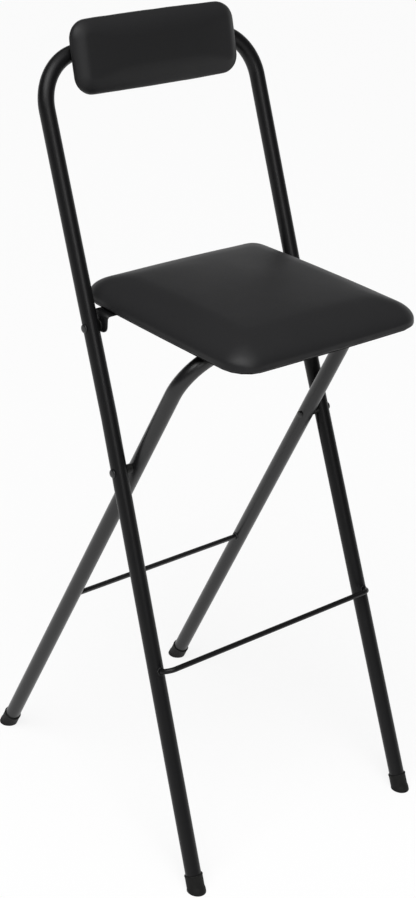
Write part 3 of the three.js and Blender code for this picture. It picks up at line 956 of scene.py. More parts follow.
@dataclass(frozen=True)
class CrossScrew:
    """A pan-head screw with a cross recess.

    Attributes:
        dome: How far the head falls from its middle to its rim, as a share of its height.
        rim_start: Where the rim's rounding starts, as a share of the radius.
        rim_drop: How far the rounding falls, as a share of the head's height.
        cross_reach: How far the cross reaches out, as a share of the head's diameter.
        cross_rise: How much shallower it is at its ends, as a share of its depth.
        tip_radius: The radius of the tip's end.
        tip_length: The length of the tip's taper.
    """

    shank: float
    head: float
    head_height: float
    length: float
    recess_width: float
    recess_depth: float
    finish: Finish
    dome: float = 0.35
    rim_start: float = 0.82
    rim_drop: float = 0.5
    cross_reach: float = 0.28
    cross_rise: float = 0.5
    tip_radius: float = 0.3
    tip_length: float = 1.0
    rings: int = 14
    sides: int = 48
    sharp: float = math.radians(50)

    def head_point(self, radius: float, turn: float) -> Vector:
        """A point of the head's face, sunk inside the cross.

        Args:
            radius: How far from the axis it lies.
            turn: Its angle about the axis.

        Returns:
            The point, with Z the way that the head points.
        """
        share = radius / (self.head / 2)
        height = self.head_height * (1 - self.dome * share**2)
        if share > self.rim_start:
            past = (share - self.rim_start) / (1 - self.rim_start)
            height -= self.head_height * self.rim_drop * past**2
        x, y = radius * math.cos(turn), radius * math.sin(turn)
        narrow, long = sorted((abs(x), abs(y)))
        reach = self.head * self.cross_reach
        if narrow < self.recess_width / 2 and long < reach:
            height -= self.recess_depth * (1 - self.cross_rise * long / reach)
        return Vector((x, y, height))

    def build(
        self, name: str, body: Body, seat: Vector, outward: Vector, place: Matrix
    ) -> None:
        """Builds one screw.

        Args:
            name: Its node's name.
            body: The body that it rides on.
            seat: The middle of the face that the head sits on.
            outward: The way that the head points.
            place: Where the local frame stands on the stool.
        """
        piece = Piece(f"{name}_{self.finish.slot}", self.finish, body, (name,))
        frame = aimed(seat, outward)
        profile = [
            (self.tip_radius, -self.length),
            (self.shank / 2, -self.length + self.tip_length),
            (self.shank / 2, 0),
            (self.head / 2, 0),
        ]
        loops = [piece.ring(frame, radius, z, self.sides) for radius, z in profile]
        turns = [2 * math.pi * i / self.sides for i in range(self.sides)]
        for ring in range(self.rings, 0, -1):
            radius = self.head / 2 * ring / self.rings
            points = [frame @ self.head_point(radius, turn) for turn in turns]
            loops.append(piece.loop(points))
        piece.skin(loops)
        piece.make(place, sharp=self.sharp)


# The frames


@dataclass(frozen=True)
class TubeFrame:
    """A bent tube with a rod welded between its legs and a cap on each foot.

    Attributes:
        label: The frame's name as the nodes' names hold it.
        body: The body that it is.
        coat: Its paint.
        lean: How far it leans from upright.
        splay: How far each leg spreads inside the frame's plane.
        rod_height: How high its rod lies.
        bar_bend_radius: The radius of the bends into its top bar.
    """

    label: str
    body: Body
    coat: Finish
    lean: float
    splay: float
    rod_height: float
    bar_bend_radius: float = 70.0
    tube_sides: int = 64
    rod_sides: int = 32
    bend_steps: int = 28
    cap: FootCap = FootCap()
    weld: WeldBead = WeldBead()

    @property
    def plane(self) -> Matrix:
        """The frame's own frame: Z up along it, Y through it."""
        raise NotImplementedError

    @property
    def bends(self) -> list[tuple[float, float, float]]:
        """The tube's corners from a foot to its top bar.

        Returns:
            For each one its half width, how far up it lies, and its bend's radius.
        """
        raise NotImplementedError

    @property
    def rod_along(self) -> float:
        """How far up the frame the rod is welded."""
        raise NotImplementedError

    @property
    def rod_route(self) -> list[Vector]:
        """The points along the rod."""
        raise NotImplementedError

    def half_width(self, along: float) -> float:
        """From the middle to a leg's axis, so far up the frame."""
        raise NotImplementedError

    def rod_away(self, side: Side) -> Vector:
        """The way from a leg along the rod's end."""
        raise NotImplementedError

    def foot(self, side: Side) -> Vector:
        """Where a leg's axis meets the floor."""
        return Vector((side.value * self.half_width(0), 0, 0))

    def leg_up(self, side: Side) -> Vector:
        """The way up a leg."""
        return Vector((-side.value * math.sin(self.splay), 0, math.cos(self.splay)))

    def tube_end(self, side: Side) -> Vector:
        """Where the tube ends inside a foot cap, above the cap's floor."""
        rise = STANCE.cap_floor + STANCE.tube_radius * math.sin(self.lean)
        return self.foot(side) + self.leg_up(side) * (rise / math.cos(self.lean))

    def build_tube(self) -> None:
        """Builds the tube, from the left foot over the top bar to the right one."""
        half = [Vector((-half, 0, along)) for half, along, _ in self.bends]
        other_half = [Vector((-p.x, 0, p.z)) for p in reversed(half)]
        corners = [self.tube_end(Side.LEFT), *half, *other_half, self.tube_end(Side.RIGHT)]
        radii = [radius for _, _, radius in self.bends]
        route = rounded_route(corners, radii + radii[::-1], self.bend_steps)
        node = f"{self.label}_frame_tube"
        tube = Piece(f"{self.label}_tube_coated", self.coat, self.body, (node,))
        tube.sweep(route, Y_AXIS, lambda _: circle(STANCE.tube_radius, self.tube_sides))
        tube.make(self.plane)

    def build_rod(self) -> None:
        """Builds the rod and the welds at its ends."""
        node = f"{self.label}_footrest_rod"
        rod = Piece(f"{self.label}_rod_coated", self.coat, self.body, (node,))
        radius = STANCE.rod_diameter / 2
        rod.sweep(self.rod_route, Z_AXIS, lambda _: circle(radius, self.rod_sides))
        rod.make(self.plane)
        for side in Side:
            bead = Piece(f"{self.label}_{side.label}_rod_weld", self.coat, self.body)
            half = self.half_width(self.rod_along)
            end = Vector((side.value * half, 0, self.rod_along))
            self.weld.build(bead, end, self.rod_away(side), self.leg_up(side))
            bead.make(self.plane)

    def build(self) -> None:
        """Builds the tube, the rod and both foot caps."""
        self.build_tube()
        self.build_rod()
        for side in Side:
            name = f"{self.label}_{side.label}_foot_cap"
            self.cap.build(name, self.body, self.plane, self.foot(side), self.leg_up(side))


@dataclass(frozen=True)
class FrontFrame(TubeFrame):
    """The tube that is bent into the front legs and the backrest's uprights."""

    label: str = "front"
    body: Body = Body.FRONT_FRAME
    coat: Finish = SHADED_FRONT_COAT
    lean: float = STANCE.front_lean
    splay: float = STANCE.leg_splay
    rod_height: float = 295.8
    leg_bend_radius: float = 320.0
    rod_reach: float = 25.0
    rod_sink: float = 4.0
    rod_bend_radius: float = 15.0

    @property
    def plane(self) -> Matrix:
        """The front frame's own frame."""
        return STANCE.front_plane

    @property
    def bends(self) -> list[tuple[float, float, float]]:
        """The bend above each leg and the one into the backrest's bar.

        Returns:
            For each one its half width, how far up it lies, and its bend's radius.
        """
        half = STANCE.upright_half_width
        return [
            (half, STANCE.front_along(STANCE.splay_height), self.leg_bend_radius),
            (half, STANCE.front_along(STANCE.back_bar_height), self.bar_bend_radius),
        ]

    @property
    def rod_along(self) -> float:
        """How far up the frame the rod is welded."""
        drop = self.rod_reach * math.sin(self.lean)
        return STANCE.front_along(self.rod_height - drop)

    @property
    def rod_route(self) -> list[Vector]:
        """The rod's points, with both ends bent back to the legs' front.

        Returns:
            The points.
        """
        along = self.rod_along
        end = self.half_width(along)
        corners = [
            Vector((-end, -self.rod_sink, along)),
            Vector((-end, -self.rod_reach, along)),
            Vector((end, -self.rod_reach, along)),
            Vector((end, -self.rod_sink, along)),
        ]
        return rounded_route(corners, [self.rod_bend_radius] * 2, self.bend_steps)

    def half_width(self, along: float) -> float:
        """From the middle to a leg's axis, so far up the frame."""
        return STANCE.leg_half_width(along)

    def rod_away(self, side: Side) -> Vector:
        """The way from a leg along the rod's end."""
        return -Y_AXIS


@dataclass(frozen=True)
class RearFrame(TubeFrame):
    """The tube that is bent into the rear legs and the bar under the seat."""

    label: str = "rear"
    body: Body = Body.REAR_FRAME
    coat: Finish = REAR_COAT
    lean: float = STANCE.rear_lean
    splay: float = STANCE.rear_splay
    rod_height: float = 285.8
    rod_sink: float = 2.0

    @property
    def plane(self) -> Matrix:
        """The rear frame's own frame."""
        return STANCE.rear_plane

    @property
    def bends(self) -> list[tuple[float, float, float]]:
        """The bend into the bar under the seat."""
        top = STANCE.rear_along(STANCE.seat_bar_height)
        return [(self.half_width(top), top, self.bar_bend_radius)]

    @property
    def rod_along(self) -> float:
        """How far up the frame the rod is welded."""
        return STANCE.rear_along(self.rod_height)

    @property
    def rod_route(self) -> list[Vector]:
        """The straight rod's ends, just inside the legs' walls.

        Returns:
            Both ends.
        """
        along = self.rod_along
        end = self.half_width(along) - STANCE.tube_radius + self.rod_sink
        return [Vector((-end, 0, along)), Vector((end, 0, along))]

    def half_width(self, along: float) -> float:
        """From the middle to a leg's axis, so far up the frame."""
        return STANCE.rear_half_width(along)

    def rod_away(self, side: Side) -> Vector:
        """The way from a leg along the rod's end."""
        return X_AXIS * -side.value


# Pivots


@dataclass(frozen=True)
class Pivots:
    """The rivets, spacers and washers that the frames and the seat turn on.

    A spacer is made longer by the depth of the cup that reaches round the front tube; its
    outer end is left flat.
    """

    rivet: Rivet = Rivet()
    spacer_diameter: float = 13.0
    spacer_cup: float = 1.0
    washer_diameter: float = 16.0
    edge: float = 0.35
    sides: int = 48

    def build_ring(
        self, name: str, start: Vector, outward: Vector, diameter: float, length: float
    ) -> None:
        """Builds a nylon ring round a rivet.

        Args:
            name: Its node's name.
            start: The middle of its inner face.
            outward: The way to its outer face.
            diameter: Its outer diameter.
            length: Its length.
        """
        bore, radius = self.rivet.shank / 2, diameter / 2
        profile = [
            (bore, 0),
            (radius - self.edge, 0),
            (radius, self.edge),
            (radius, length - self.edge),
            (radius - self.edge, length),
            (bore, length),
        ]
        piece = Piece(f"{name}_nylon", SPACER_NYLON, Body.FRONT_FRAME, (name,))
        piece.turn(profile, aimed(start, outward), self.sides)
        piece.make(STANCE.front_plane)

    def build_main(self, side: Side) -> None:
        """Builds a side's rivet and spacer where the two frames cross.

        Args:
            side: The side.
        """
        out = X_AXIS * side.value
        up = Z_AXIS * STANCE.front_along(STANCE.cross_height)
        reach = STANCE.tube_radius + STANCE.rest_gap
        head = STANCE.front_pivot_half_width + reach
        tail = STANCE.rear_pivot_half_width - reach
        name = f"main_pivot_rivet_{side.label}"
        self.rivet.build(name, out * head + up, out, head - tail)
        start = out * (STANCE.rear_pivot_half_width + reach) + up
        length = STANCE.pivot_spacer_length + self.spacer_cup
        name = f"main_pivot_spacer_{side.label}"
        self.build_ring(name, start, out, self.spacer_diameter, length)

    def build_seat(self, side: Side) -> None:
        """Builds a side's rivet and washer where the seat turns on an upright.

        Args:
            side: The side.
        """
        out = X_AXIS * side.value
        up = Z_AXIS * STANCE.front_along(STANCE.seat_pivot.z)
        reach = STANCE.tube_radius + STANCE.rest_gap
        head = STANCE.upright_half_width + reach
        washer = STANCE.upright_half_width - reach - STANCE.washer_thickness
        tail = washer - STANCE.strap_thickness - 2 * STANCE.rest_gap
        name = f"seat_pivot_rivet_{side.label}"
        self.rivet.build(name, out * head + up, out, head - tail)
        name, start = f"seat_pivot_washer_{side.label}", out * washer + up
        self.build_ring(name, start, out, self.washer_diameter, STANCE.washer_thickness)

    def build(self) -> None:
        """Builds both sides' pivots."""
        for side in Side:
            self.build_main(side)
            self.build_seat(side)


# Upholstery


@dataclass(frozen=True)
class Plan:
    """The rounded, bowed and tapered outline of a cushion, seen from its front."""

    half_width: float
    half_depth: float
    corner_radius: float
    bow: float
    taper: float = 0.0

    def bowed(self, x: float, y: float) -> tuple[float, float]:
        """Moves a point of the plain rounded rectangle to the bowed and tapered one.

        Args:
            x: Its place across.
            y: Its place along the depth.

        Returns:
            Its new place.
        """
        u, v = x / self.half_width, y / self.half_depth
        side = self.half_width + self.bow * (1 - v * v) - self.taper * (1 + v) / 2
        return u * side, v * (self.half_depth + self.bow * (1 - u * u))

    def at(
        self, face: int, share: float, inset: float, scale: float = 1.0
    ) -> tuple[float, float]:
        """A point on the outline, drawn in by an inset.

        Args:
            face: 0 for the right side, then anticlockwise to 3.
            share: From -1 at the middle of one corner to 1 at the middle of the next.
            inset: How far inside the outline the point lies.
            scale: How far from the middle it lies, as a share.

        Returns:
            The point.
        """
        radius = self.corner_radius - inset
        halves = (self.half_width, self.half_depth)
        reach = halves[face % 2] - self.bow - self.corner_radius
        straight = halves[1 - face % 2] - self.bow - self.corner_radius
        along = abs(share) * (straight + radius * math.pi / 4)
        turn = max(along - straight, 0) / radius
        out = reach + radius * math.cos(turn)
        aside = math.copysign(min(along, straight) + radius * math.sin(turn), share)
        x, y = ((out, aside), (-aside, out), (-out, -aside), (aside, -out))[face]
        x, y = self.bowed(x, y)
        return x * scale, y * scale


# 2 would make a cushion's edge elliptic
SWELL_POWER = 1.7

# The waves that the staples pull into a cover's low edge: each one's width in
# millimetres, the slice of the noise that it is cut from, and its share
STAPLE_WAVES = ((34.0, 3.1, 1.0), (13.0, 8.4, 0.5))
STAPLE_LIFT = 0.6

# How the vinyl and the air under it behave
CLOTH_SETTINGS = {
    "quality": 6,
    "mass": 0.35,
    "tension_stiffness": 30,
    "compression_stiffness": 30,
    "shear_stiffness": 15,
    "bending_stiffness": 8.0,
    "use_pressure": True,
    "pin_stiffness": 1.0,
}
CLOTH_FRAMES = 20
LEAST_SHIFT = 1e-9


@dataclass(frozen=True)
class Padding:
    """How a padded cover rises from its board, in millimetres.

    Attributes:
        skirt: How far the board's edge lies inside the cover's.
        pocket_depth: The depth of the pocket that holds the board.
        tuck_run: How far the low edge is tucked in.
        tuck_rise: How high the tuck's rounding starts.
        band_height: The height of the side band.
        shoulder_run: How far in the closely spaced rings of the edge reach.
        swell_run: How far in from the edge the steep swell ends.
        swell_rise: How high it rises.
        crown: How much the middle rises above that.
        slack: How much smaller the cover is before the air swells it.
        edge_wave: How far the staples pull the low edge.
        lift_cap: The most that the air may move a point.
        pressure: The air's pressure.
        cells: The cover's cells from its middle to its edge.
        shoulder_rings: How many of them are in the edge.
    """

    skirt: float
    pocket_depth: float
    tuck_run: float
    tuck_rise: float
    band_height: float
    shoulder_run: float
    swell_run: float
    swell_rise: float
    crown: float
    slack: float
    edge_wave: float
    lift_cap: float
    pressure: float
    cells: int
    shoulder_rings: int

    def swell(self, distance: float) -> float:
        """How much of its rise the top has made at a distance in from the edge."""
        left = max(1 - distance / self.swell_run, 0)
        return (1 - left**SWELL_POWER) ** (1 / SWELL_POWER)

    @property
    def levels(self) -> list[tuple[float, float, float, float]]:
        """The cover's loops below its top: down the band, under, and up to the board.

        Returns:
            For each one its inset, its height, how firmly it is held, and how wavy it is.
        """
        bend = self.tuck_run / 3
        return [
            (self.slack * 0.8, self.band_height * 0.68, 0.15, 0.2),
            (self.slack * 0.4, self.band_height * 0.4, 0.5, 0.6),
            (0.0, self.tuck_rise + 0.6, 0.85, 1.0),
            (bend * 0.6, self.tuck_rise * 0.45, 1.0, 1.0),
            (bend * 2, self.tuck_rise * 0.1, 1.0, 0.7),
            (self.tuck_run, 0.0, 1.0, 0.3),
            (self.skirt, 0.0, 1.0, 0.0),
            (self.skirt, self.pocket_depth, 1.0, 0.0),
        ]


@dataclass(frozen=True)
class PaddedCover:
    """A vinyl cover drawn over foam and stapled under a board.

    The cover is a closed grid that follows the outline. Its low edge is held, and air
    pressure swells the rest as foam does. The board has the same outline, drawn in.
    """

    plan: Plan
    padding: Padding
    board_thickness: float = 9.0
    board_round: float = 0.8
    board_steps: int = 24

    def place_on_ring(self, column: int, row: int, ring: int) -> tuple[int, float]:
        """Which face of a square ring a grid point lies on, and how far along it.

        Args:
            column: The point's column, 0 at the middle.
            row: Its row.
            ring: The larger of their sizes, at least 1.

        Returns:
            The face's number and a share from -1 to 1.
        """
        if column == ring:
            return 0, row / ring
        if row == ring:
            return 1, -column / ring
        if column == -ring:
            return 2, -row / ring
        return 3, column / ring

    def top_point(self, column: int, row: int) -> Vector:
        """A point of the cover's upper face.

        Args:
            column: The point's column, 0 at the middle.
            row: Its row.

        Returns:
            The point.
        """
        form, cells = self.padding, self.padding.cells
        ring = max(abs(column), abs(row))
        flat = cells - form.shoulder_rings
        if ring == 0:
            height = form.band_height + form.swell_rise + form.crown - form.slack
            return Vector((0, 0, height))
        face, share = self.place_on_ring(column, row, ring)
        turn = max(cells - ring, 0) / form.shoulder_rings * math.pi / 2
        inset = form.shoulder_run * (1 - math.cos(min(turn, math.pi / 2)))
        scale = min(ring / flat, 1)
        x, y = self.plan.at(face, share, inset, scale)
        u = min(abs(x) / self.plan.half_width, 1)
        v = min(abs(y) / self.plan.half_depth, 1)
        swollen = form.swell(inset + (1 - scale) * (self.plan.half_depth - inset))
        crown = form.crown * (1 - u * u) * (1 - v * v)
        rise = swollen * (form.swell_rise - form.slack) + crown
        x, y = self.plan.at(face, share, inset + form.slack * max(math.cos(turn), 0), scale)
        return Vector((x, y, form.band_height + rise))

    def wave(self, x: float, y: float) -> float:
        """How far the staples' pull moves the cover's low edge at a place.

        Args:
            x: The place across.
            y: The place along the depth.

        Returns:
            How far, in millimetres.
        """
        waves = [
            share * noise.noise(Vector((x / width, y / width, level)))
            for width, level, share in STAPLE_WAVES
        ]
        return self.padding.edge_wave * sum(waves)

    def fill(self, piece: Piece, grid: dict[tuple[int, int], int]) -> None:
        """Fills a grid with faces.

        Args:
            piece: The piece that gets them.
            grid: The points' numbers by column and row.
        """
        for c, r in grid:
            quad = ((c, r), (c + 1, r), (c + 1, r + 1), (c, r + 1))
            if quad[2] in grid:
                piece.faces.append(tuple(grid[corner] for corner in quad))

    def shape(self, piece: Piece) -> list[float]:
        """Gives a piece the cover's points and faces.

        Args:
            piece: The piece that gets it.

        Returns:
            How firmly each point is held, from 0 to 1.
        """
        form, cells = self.padding, self.padding.cells
        span = range(-cells, cells + 1)
        grid = {(c, r): i for i, (c, r) in enumerate((c, r) for c in span for r in span)}
        piece.loop([self.top_point(c, r) for c, r in grid])
        held = [0.0] * len(grid)
        self.fill(piece, grid)
        rim = [(cells, r) for r in range(-cells, cells)]
        rim += [(-c, cells) for c in range(-cells, cells)]
        rim += [(-cells, -r) for r in range(-cells, cells)]
        rim += [(c, -cells) for c in range(-cells, cells)]
        loop = [grid[corner] for corner in rim]
        places = [self.place_on_ring(c, r, cells) for c, r in rim]
        for inset, height, hold, waviness in form.levels:
            points = []
            for face, share in places:
                x, y = self.plan.at(face, share, inset)
                shift = self.wave(x, y) * waviness
                x, y = self.plan.at(face, share, inset + shift)
                points.append(Vector((x, y, height + shift * STAPLE_LIFT)))
            lower = piece.loop(points)
            held += [hold] * len(lower)
            piece.bridge(loop, lower)
            loop = lower
        rim_points = dict(zip(rim, loop))
        base = {}
        for c, r in grid:
            ring = max(abs(c), abs(r))
            if ring == cells:
                base[c, r] = rim_points[c, r]
                continue
            x, y = 0.0, 0.0
            if ring:
                face, share = self.place_on_ring(c, r, ring)
                x, y = self.plan.at(face, share, form.skirt, ring / cells)
            base[c, r] = piece.loop([Vector((x, y, form.pocket_depth))])[0]
            held.append(1.0)
        self.fill(piece, base)
        return held

    def inflate(self, cover: bpy.types.Object, held: Sequence[float]) -> None:
        """Swells the cover with air pressure and keeps the result in its mesh.

        Args:
            cover: The cover's object.
            held: How firmly each point is held.
        """
        group = cover.vertex_groups.new(name="held")
        for index, hold in enumerate(held):
            if hold:
                group.add([index], hold, "REPLACE")
        cloth = cover.modifiers.new("air", "CLOTH")
        for name, value in CLOTH_SETTINGS.items():
            setattr(cloth.settings, name, value)
        cloth.settings.uniform_pressure_force = self.padding.pressure
        cloth.settings.vertex_group_mass = group.name
        cloth.settings.effector_weights.gravity = 0
        scene = bpy.context.scene
        for frame in range(1, CLOTH_FRAMES + 1):
            scene.frame_set(frame)
            bpy.context.view_layer.update()
        swollen = cover.evaluated_get(bpy.context.evaluated_depsgraph_get()).data
        cap = self.padding.lift_cap * MM
        shifts = []
        for before, after in zip(cover.data.vertices, swollen.vertices):
            shift = after.co - before.co
            if shift.length > LEAST_SHIFT:
                shift *= cap * math.tanh(shift.length / cap) / shift.length
            shifts.append(shift)
        shifts = self.even(cover, held, shifts)
        cover.modifiers.remove(cloth)
        scene.frame_set(1)
        for vertex, shift in zip(cover.data.vertices, shifts):
            vertex.co += shift
        cover.data.update()
        largest = max(shift.length for shift in shifts)
        LOG.info("%s: air moved it by up to %.2f mm", cover.name, largest / MM)

    def even(
        self,
        cover: bpy.types.Object,
        held: Sequence[float],
        shifts: list[Vector],
        rounds: int = 14,
    ) -> list[Vector]:
        """Evens the swelling out, as the foam under the vinyl does.

        Args:
            cover: The cover's object.
            held: How firmly each point is held.
            shifts: How far each point has moved.
            rounds: How often each point is averaged with its neighbours.

        Returns:
            The evened shifts.
        """
        near: list[list[int]] = [[] for _ in shifts]
        for edge in cover.data.edges:
            first, second = edge.vertices
            near[first].append(second)
            near[second].append(first)
        for _ in range(rounds):
            shifts = [
                sum((shifts[other] for other in others), shift.copy())
                * ((1 - hold) / (len(others) + 1))
                for shift, others, hold in zip(shifts, near, held)
            ]
        return shifts

    def build(self, node: str, body: Body, place: Matrix, fill: float) -> None:
        """Args:
            node: The node that it stands for.
            body: The body that it rides on.
            place: Where it stands on the stool.
            fill: How tightly it is stuffed, from 0 to 1; not used.
        """
        piece = Piece(f"{node}_cover", COVER, body, (node,))
        held = self.shape(piece)
        cover = piece.make(place, sharp=math.pi)
        self.inflate(cover, held)
        cover.data.shade_smooth()
        smooth = cover.modifiers.new("smooth", "SUBSURF")
        smooth.levels = smooth.render_levels = 1

    def build_board(self, node: str, body: Body, place: Matrix) -> None:
        """Builds the board that the cover is stapled to.

        Args:
            node: The node that it stands for.
            body: The body that it rides on.
            place: Where it stands on the stool.
        """
        steps, inset = self.board_steps, self.padding.skirt + STANCE.rest_gap
        shares = [-1 + 2 * step / steps for step in range(steps)]
        places = [(face, share) for face in range(4) for share in shares]
        outline = [self.plan.at(face, share, inset) for face, share in places]
        board = Piece(f"{node}_sprayed", BOARD, body, (node,))
        board.prism(outline, Matrix.Identity(4), 0, self.board_thickness)
        board.make(place, bevel=self.board_round)


# The backrest


@dataclass(frozen=True)
class Backrest:
    """The padded board screwed to the front frame's top bar."""

    lean: float = math.radians(15.6)
    side_inset: float = 44.0
    above_bar: float = 42.5
    below_bar: float = 59.0
    gap: float = 0.5
    corner_radius: float = 25.0
    bow: float = 1.5
    tightness: float = 0.75
    screw_inset: float = 67.0
    screw: CrossScrew = CrossScrew(
        shank=6.0,
        head=11.0,
        head_height=3.3,
        length=26.0,
        recess_width=1.7,
        recess_depth=1.5,
        finish=SHADED_FRONT_COAT,
    )
    padding: Padding = Padding(
        skirt=9.0,
        pocket_depth=9.3,
        tuck_run=6.0,
        tuck_rise=6.0,
        band_height=8.0,
        shoulder_run=17.0,
        swell_run=34.0,
        swell_rise=15.0,
        crown=3.0,
        slack=0.3,
        edge_wave=0.5,
        lift_cap=0.6,
        pressure=4.0,
        cells=26,
        shoulder_rings=7,
    )

    @property
    def plan(self) -> Plan:
        """The pad's outline.

        Returns:
            The outline.
        """
        half_width = STANCE.upright_half_width - self.side_inset
        half_depth = (self.above_bar + self.below_bar) / 2
        return Plan(half_width, half_depth, self.corner_radius, self.bow)

    @property
    def place(self) -> Matrix:
        """The backrest's frame: the bar at the origin, -Y its front, Z up the pad.

        Returns:
            The frame.
        """
        bar = Matrix.Translation((0, 0, STANCE.front_along(STANCE.back_bar_height)))
        tilt = Matrix.Rotation(STANCE.front_lean - self.lean, 4, "X")
        return STANCE.front_plane @ bar @ tilt

    @property
    def pad_place(self) -> Matrix:
        """The pad's frame: its outline in XY and Z the way that it swells.

        Returns:
            The frame.
        """
        centre = (self.above_bar - self.below_bar) / 2
        back = STANCE.tube_radius + self.gap
        stand = Matrix.Translation((0, -back, centre))
        return self.place @ stand @ Matrix.Rotation(math.pi / 2, 4, "X")

    def build(self) -> None:
        """Builds the pad, its board and its screws."""
        cover = PaddedCover(self.plan, self.padding)
        cover.build("backrest_pad", Body.FRONT_FRAME, self.pad_place, self.tightness)
        cover.build_board("backrest_board", Body.FRONT_FRAME, self.pad_place)
        reach = STANCE.tube_radius + STANCE.rest_gap
        for side in Side:
            inside = self.plan.half_width - self.screw_inset
            seat = Vector((side.value * inside, reach, 0))
            name = f"backrest_screw_{side.label}"
            self.screw.build(name, Body.FRONT_FRAME, seat, Y_AXIS, self.place)
            dress_node(f"backrest_tee_nut_{side.label}", SCREW_ZINC)


def dress_node(name: str, finish: Finish) -> None:
    """Gives a node of the solid model a finish.

    Args:
        name: The node's name.
        finish: The finish.
    """
    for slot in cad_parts[name].material_slots:
        slot.material = finish.material()
    LOG.info("%s: dressed with %s", name, finish.name)


# The seat


@dataclass(frozen=True)
class Seat:
    """The upholstered board, its pivot strap and its stop strip."""

    depth: float = 338.0
    behind_pivot: float = 64.0
    side_gap: float = 7.0
    corner_radius: float = 38.0
    bow: float = 2.0
    taper: float = 5.0
    board_lip: float = 3.0
    tightness: float = 0.7
    strap_width: float = 31.5
    strap_bend_radius: float = 5.0
    strap_bend_steps: int = 10
    strap_edge: float = 0.4
    strap_sharp: float = math.radians(50)
    strap_ahead_of_pivot: float = 16.0
    ear_below_pivot: float = 8.0
    ear_corner_radius: float = 9.5
    ear_steps: int = 12
    strip_end_inset: float = 47.0
    strip_lip_drop: float = 13.0
    strip_rear: float = 29.0
    strip_bend_radius: float = 3.5
    strip_bend_steps: int = 8
    strip_round: float = 0.3
    strip_sharp: float = math.radians(40)
    strip_screw_edge: float = 7.0
    strap_screw_insets: tuple[float, float] = (107.0, 42.0)
    strip_screw_insets: tuple[float, float] = (85.0, 20.0)
    screw: CrossScrew = CrossScrew(
        shank=4.0,
        head=8.0,
        head_height=2.4,
        length=9.0,
        recess_width=1.3,
        recess_depth=1.2,
        finish=SCREW_ZINC,
    )
    padding: Padding = Padding(
        skirt=3.5,
        pocket_depth=6.3,
        tuck_run=1.4,
        tuck_rise=2.5,
        band_height=7.0,
        shoulder_run=26.0,
        swell_run=56.0,
        swell_rise=26.0,
        crown=7.5,
        slack=0.4,
        edge_wave=0.7,
        lift_cap=0.9,
        pressure=2.5,
        cells=40,
        shoulder_rings=11,
    )

    @property
    def half_width(self) -> float:
        """Half the cushion's width."""
        return STANCE.upright_half_width - STANCE.tube_radius - self.side_gap

    @property
    def plan(self) -> Plan:
        """The cushion's outline."""
        half_depth = self.depth / 2
        return Plan(self.half_width, half_depth, self.corner_radius, self.bow, self.taper)

    @property
    def place(self) -> Matrix:
        """The seat's frame, at its pivot."""
        return Matrix.Translation(STANCE.seat_pivot)

    @property
    def centre_y(self) -> float:
        """The middle of the cushion, from the pivot."""
        return self.behind_pivot - self.depth / 2

    @property
    def bar_y(self) -> float:
        """The rear frame's bar, from the pivot."""
        bar = STANCE.foot_spread / 2 - STANCE.seat_bar_height * math.tan(STANCE.rear_lean)
        return bar - STANCE.seat_pivot.y

    @property
    def flange_top(self) -> float:
        """The upper face of the strap and the strip, from the pivot."""
        return STANCE.seat_pivot_drop - STANCE.rest_gap

    def build_cushion(self) -> None:
        """Builds the cushion and its board."""
        cover = PaddedCover(self.plan, self.padding)
        low = STANCE.seat_pivot_drop
        above = Matrix.Translation((0, self.centre_y, low + self.board_lip))
        under = Matrix.Translation((0, self.centre_y, low))
        cover.build("seat_cushion", Body.SEAT, self.place @ above, self.tightness)
        cover.build_board("seat_board", Body.SEAT, self.place @ under)

    @property
    def strap_route(self) -> list[Vector]:
        """The points along the strap's middle, close together in the ears' corners.

        Returns:
            The points.
        """
        outer = STANCE.upright_half_width - STANCE.tube_radius - 2 * STANCE.rest_gap
        x = outer - STANCE.washer_thickness - STANCE.strap_thickness / 2
        y = self.strap_width / 2 - self.strap_ahead_of_pivot
        z = self.flange_top - STANCE.strap_thickness / 2
        low = -self.ear_below_pivot
        corners = [Vector(p) for p in ((-x, y, low), (-x, y, z), (x, y, z), (x, y, low))]
        bends = rounded_route(corners, [self.strap_bend_radius] * 2, self.strap_bend_steps)
        reach = self.ear_corner_radius / (bends[1] - bends[0]).length
        shares = [step / self.ear_steps * reach for step in range(1, self.ear_steps + 1)]
        ear = [bends[0].lerp(bends[1], share) for share in shares]
        other_ear = [Vector((-p.x, p.y, p.z)) for p in reversed(ear)]
        return bends[:1] + ear + bends[1:-1] + other_ear + bends[-1:]

    def build_strap(self) -> None:
        """Builds the strap across under the board, with its ears turned down."""
        route = self.strap_route
        total = sum((b - a).length for a, b in zip(route, route[1:]))
        half, thick = self.strap_width / 2, STANCE.strap_thickness / 2
        radius, soft = self.ear_corner_radius, self.strap_edge

        def section(travelled: float) -> list[tuple[float, float]]:
            """The strap's section, narrower in the ears' round corners.

            Args:
                travelled: How far along the strap it lies.

            Returns:
                Its points.
            """
            left = min(travelled, total - travelled)
            short = max(radius - left, 0)
            side = half - (radius - math.sqrt(radius**2 - short**2))
            return [
                (-thick, -side + soft),
                (-thick + soft, -side),
                (thick - soft, -side),
                (thick, -side + soft),
                (thick, side - soft),
                (thick - soft, side),
                (-thick + soft, side),
                (-thick, side - soft),
            ]

        node = "seat_pivot_strap"
        strap = Piece(f"{node}_coated", SHADED_FRONT_COAT, Body.SEAT, (node,))
        strap.sweep(route, Y_AXIS, section)
        strap.make(self.place, sharp=self.strap_sharp)

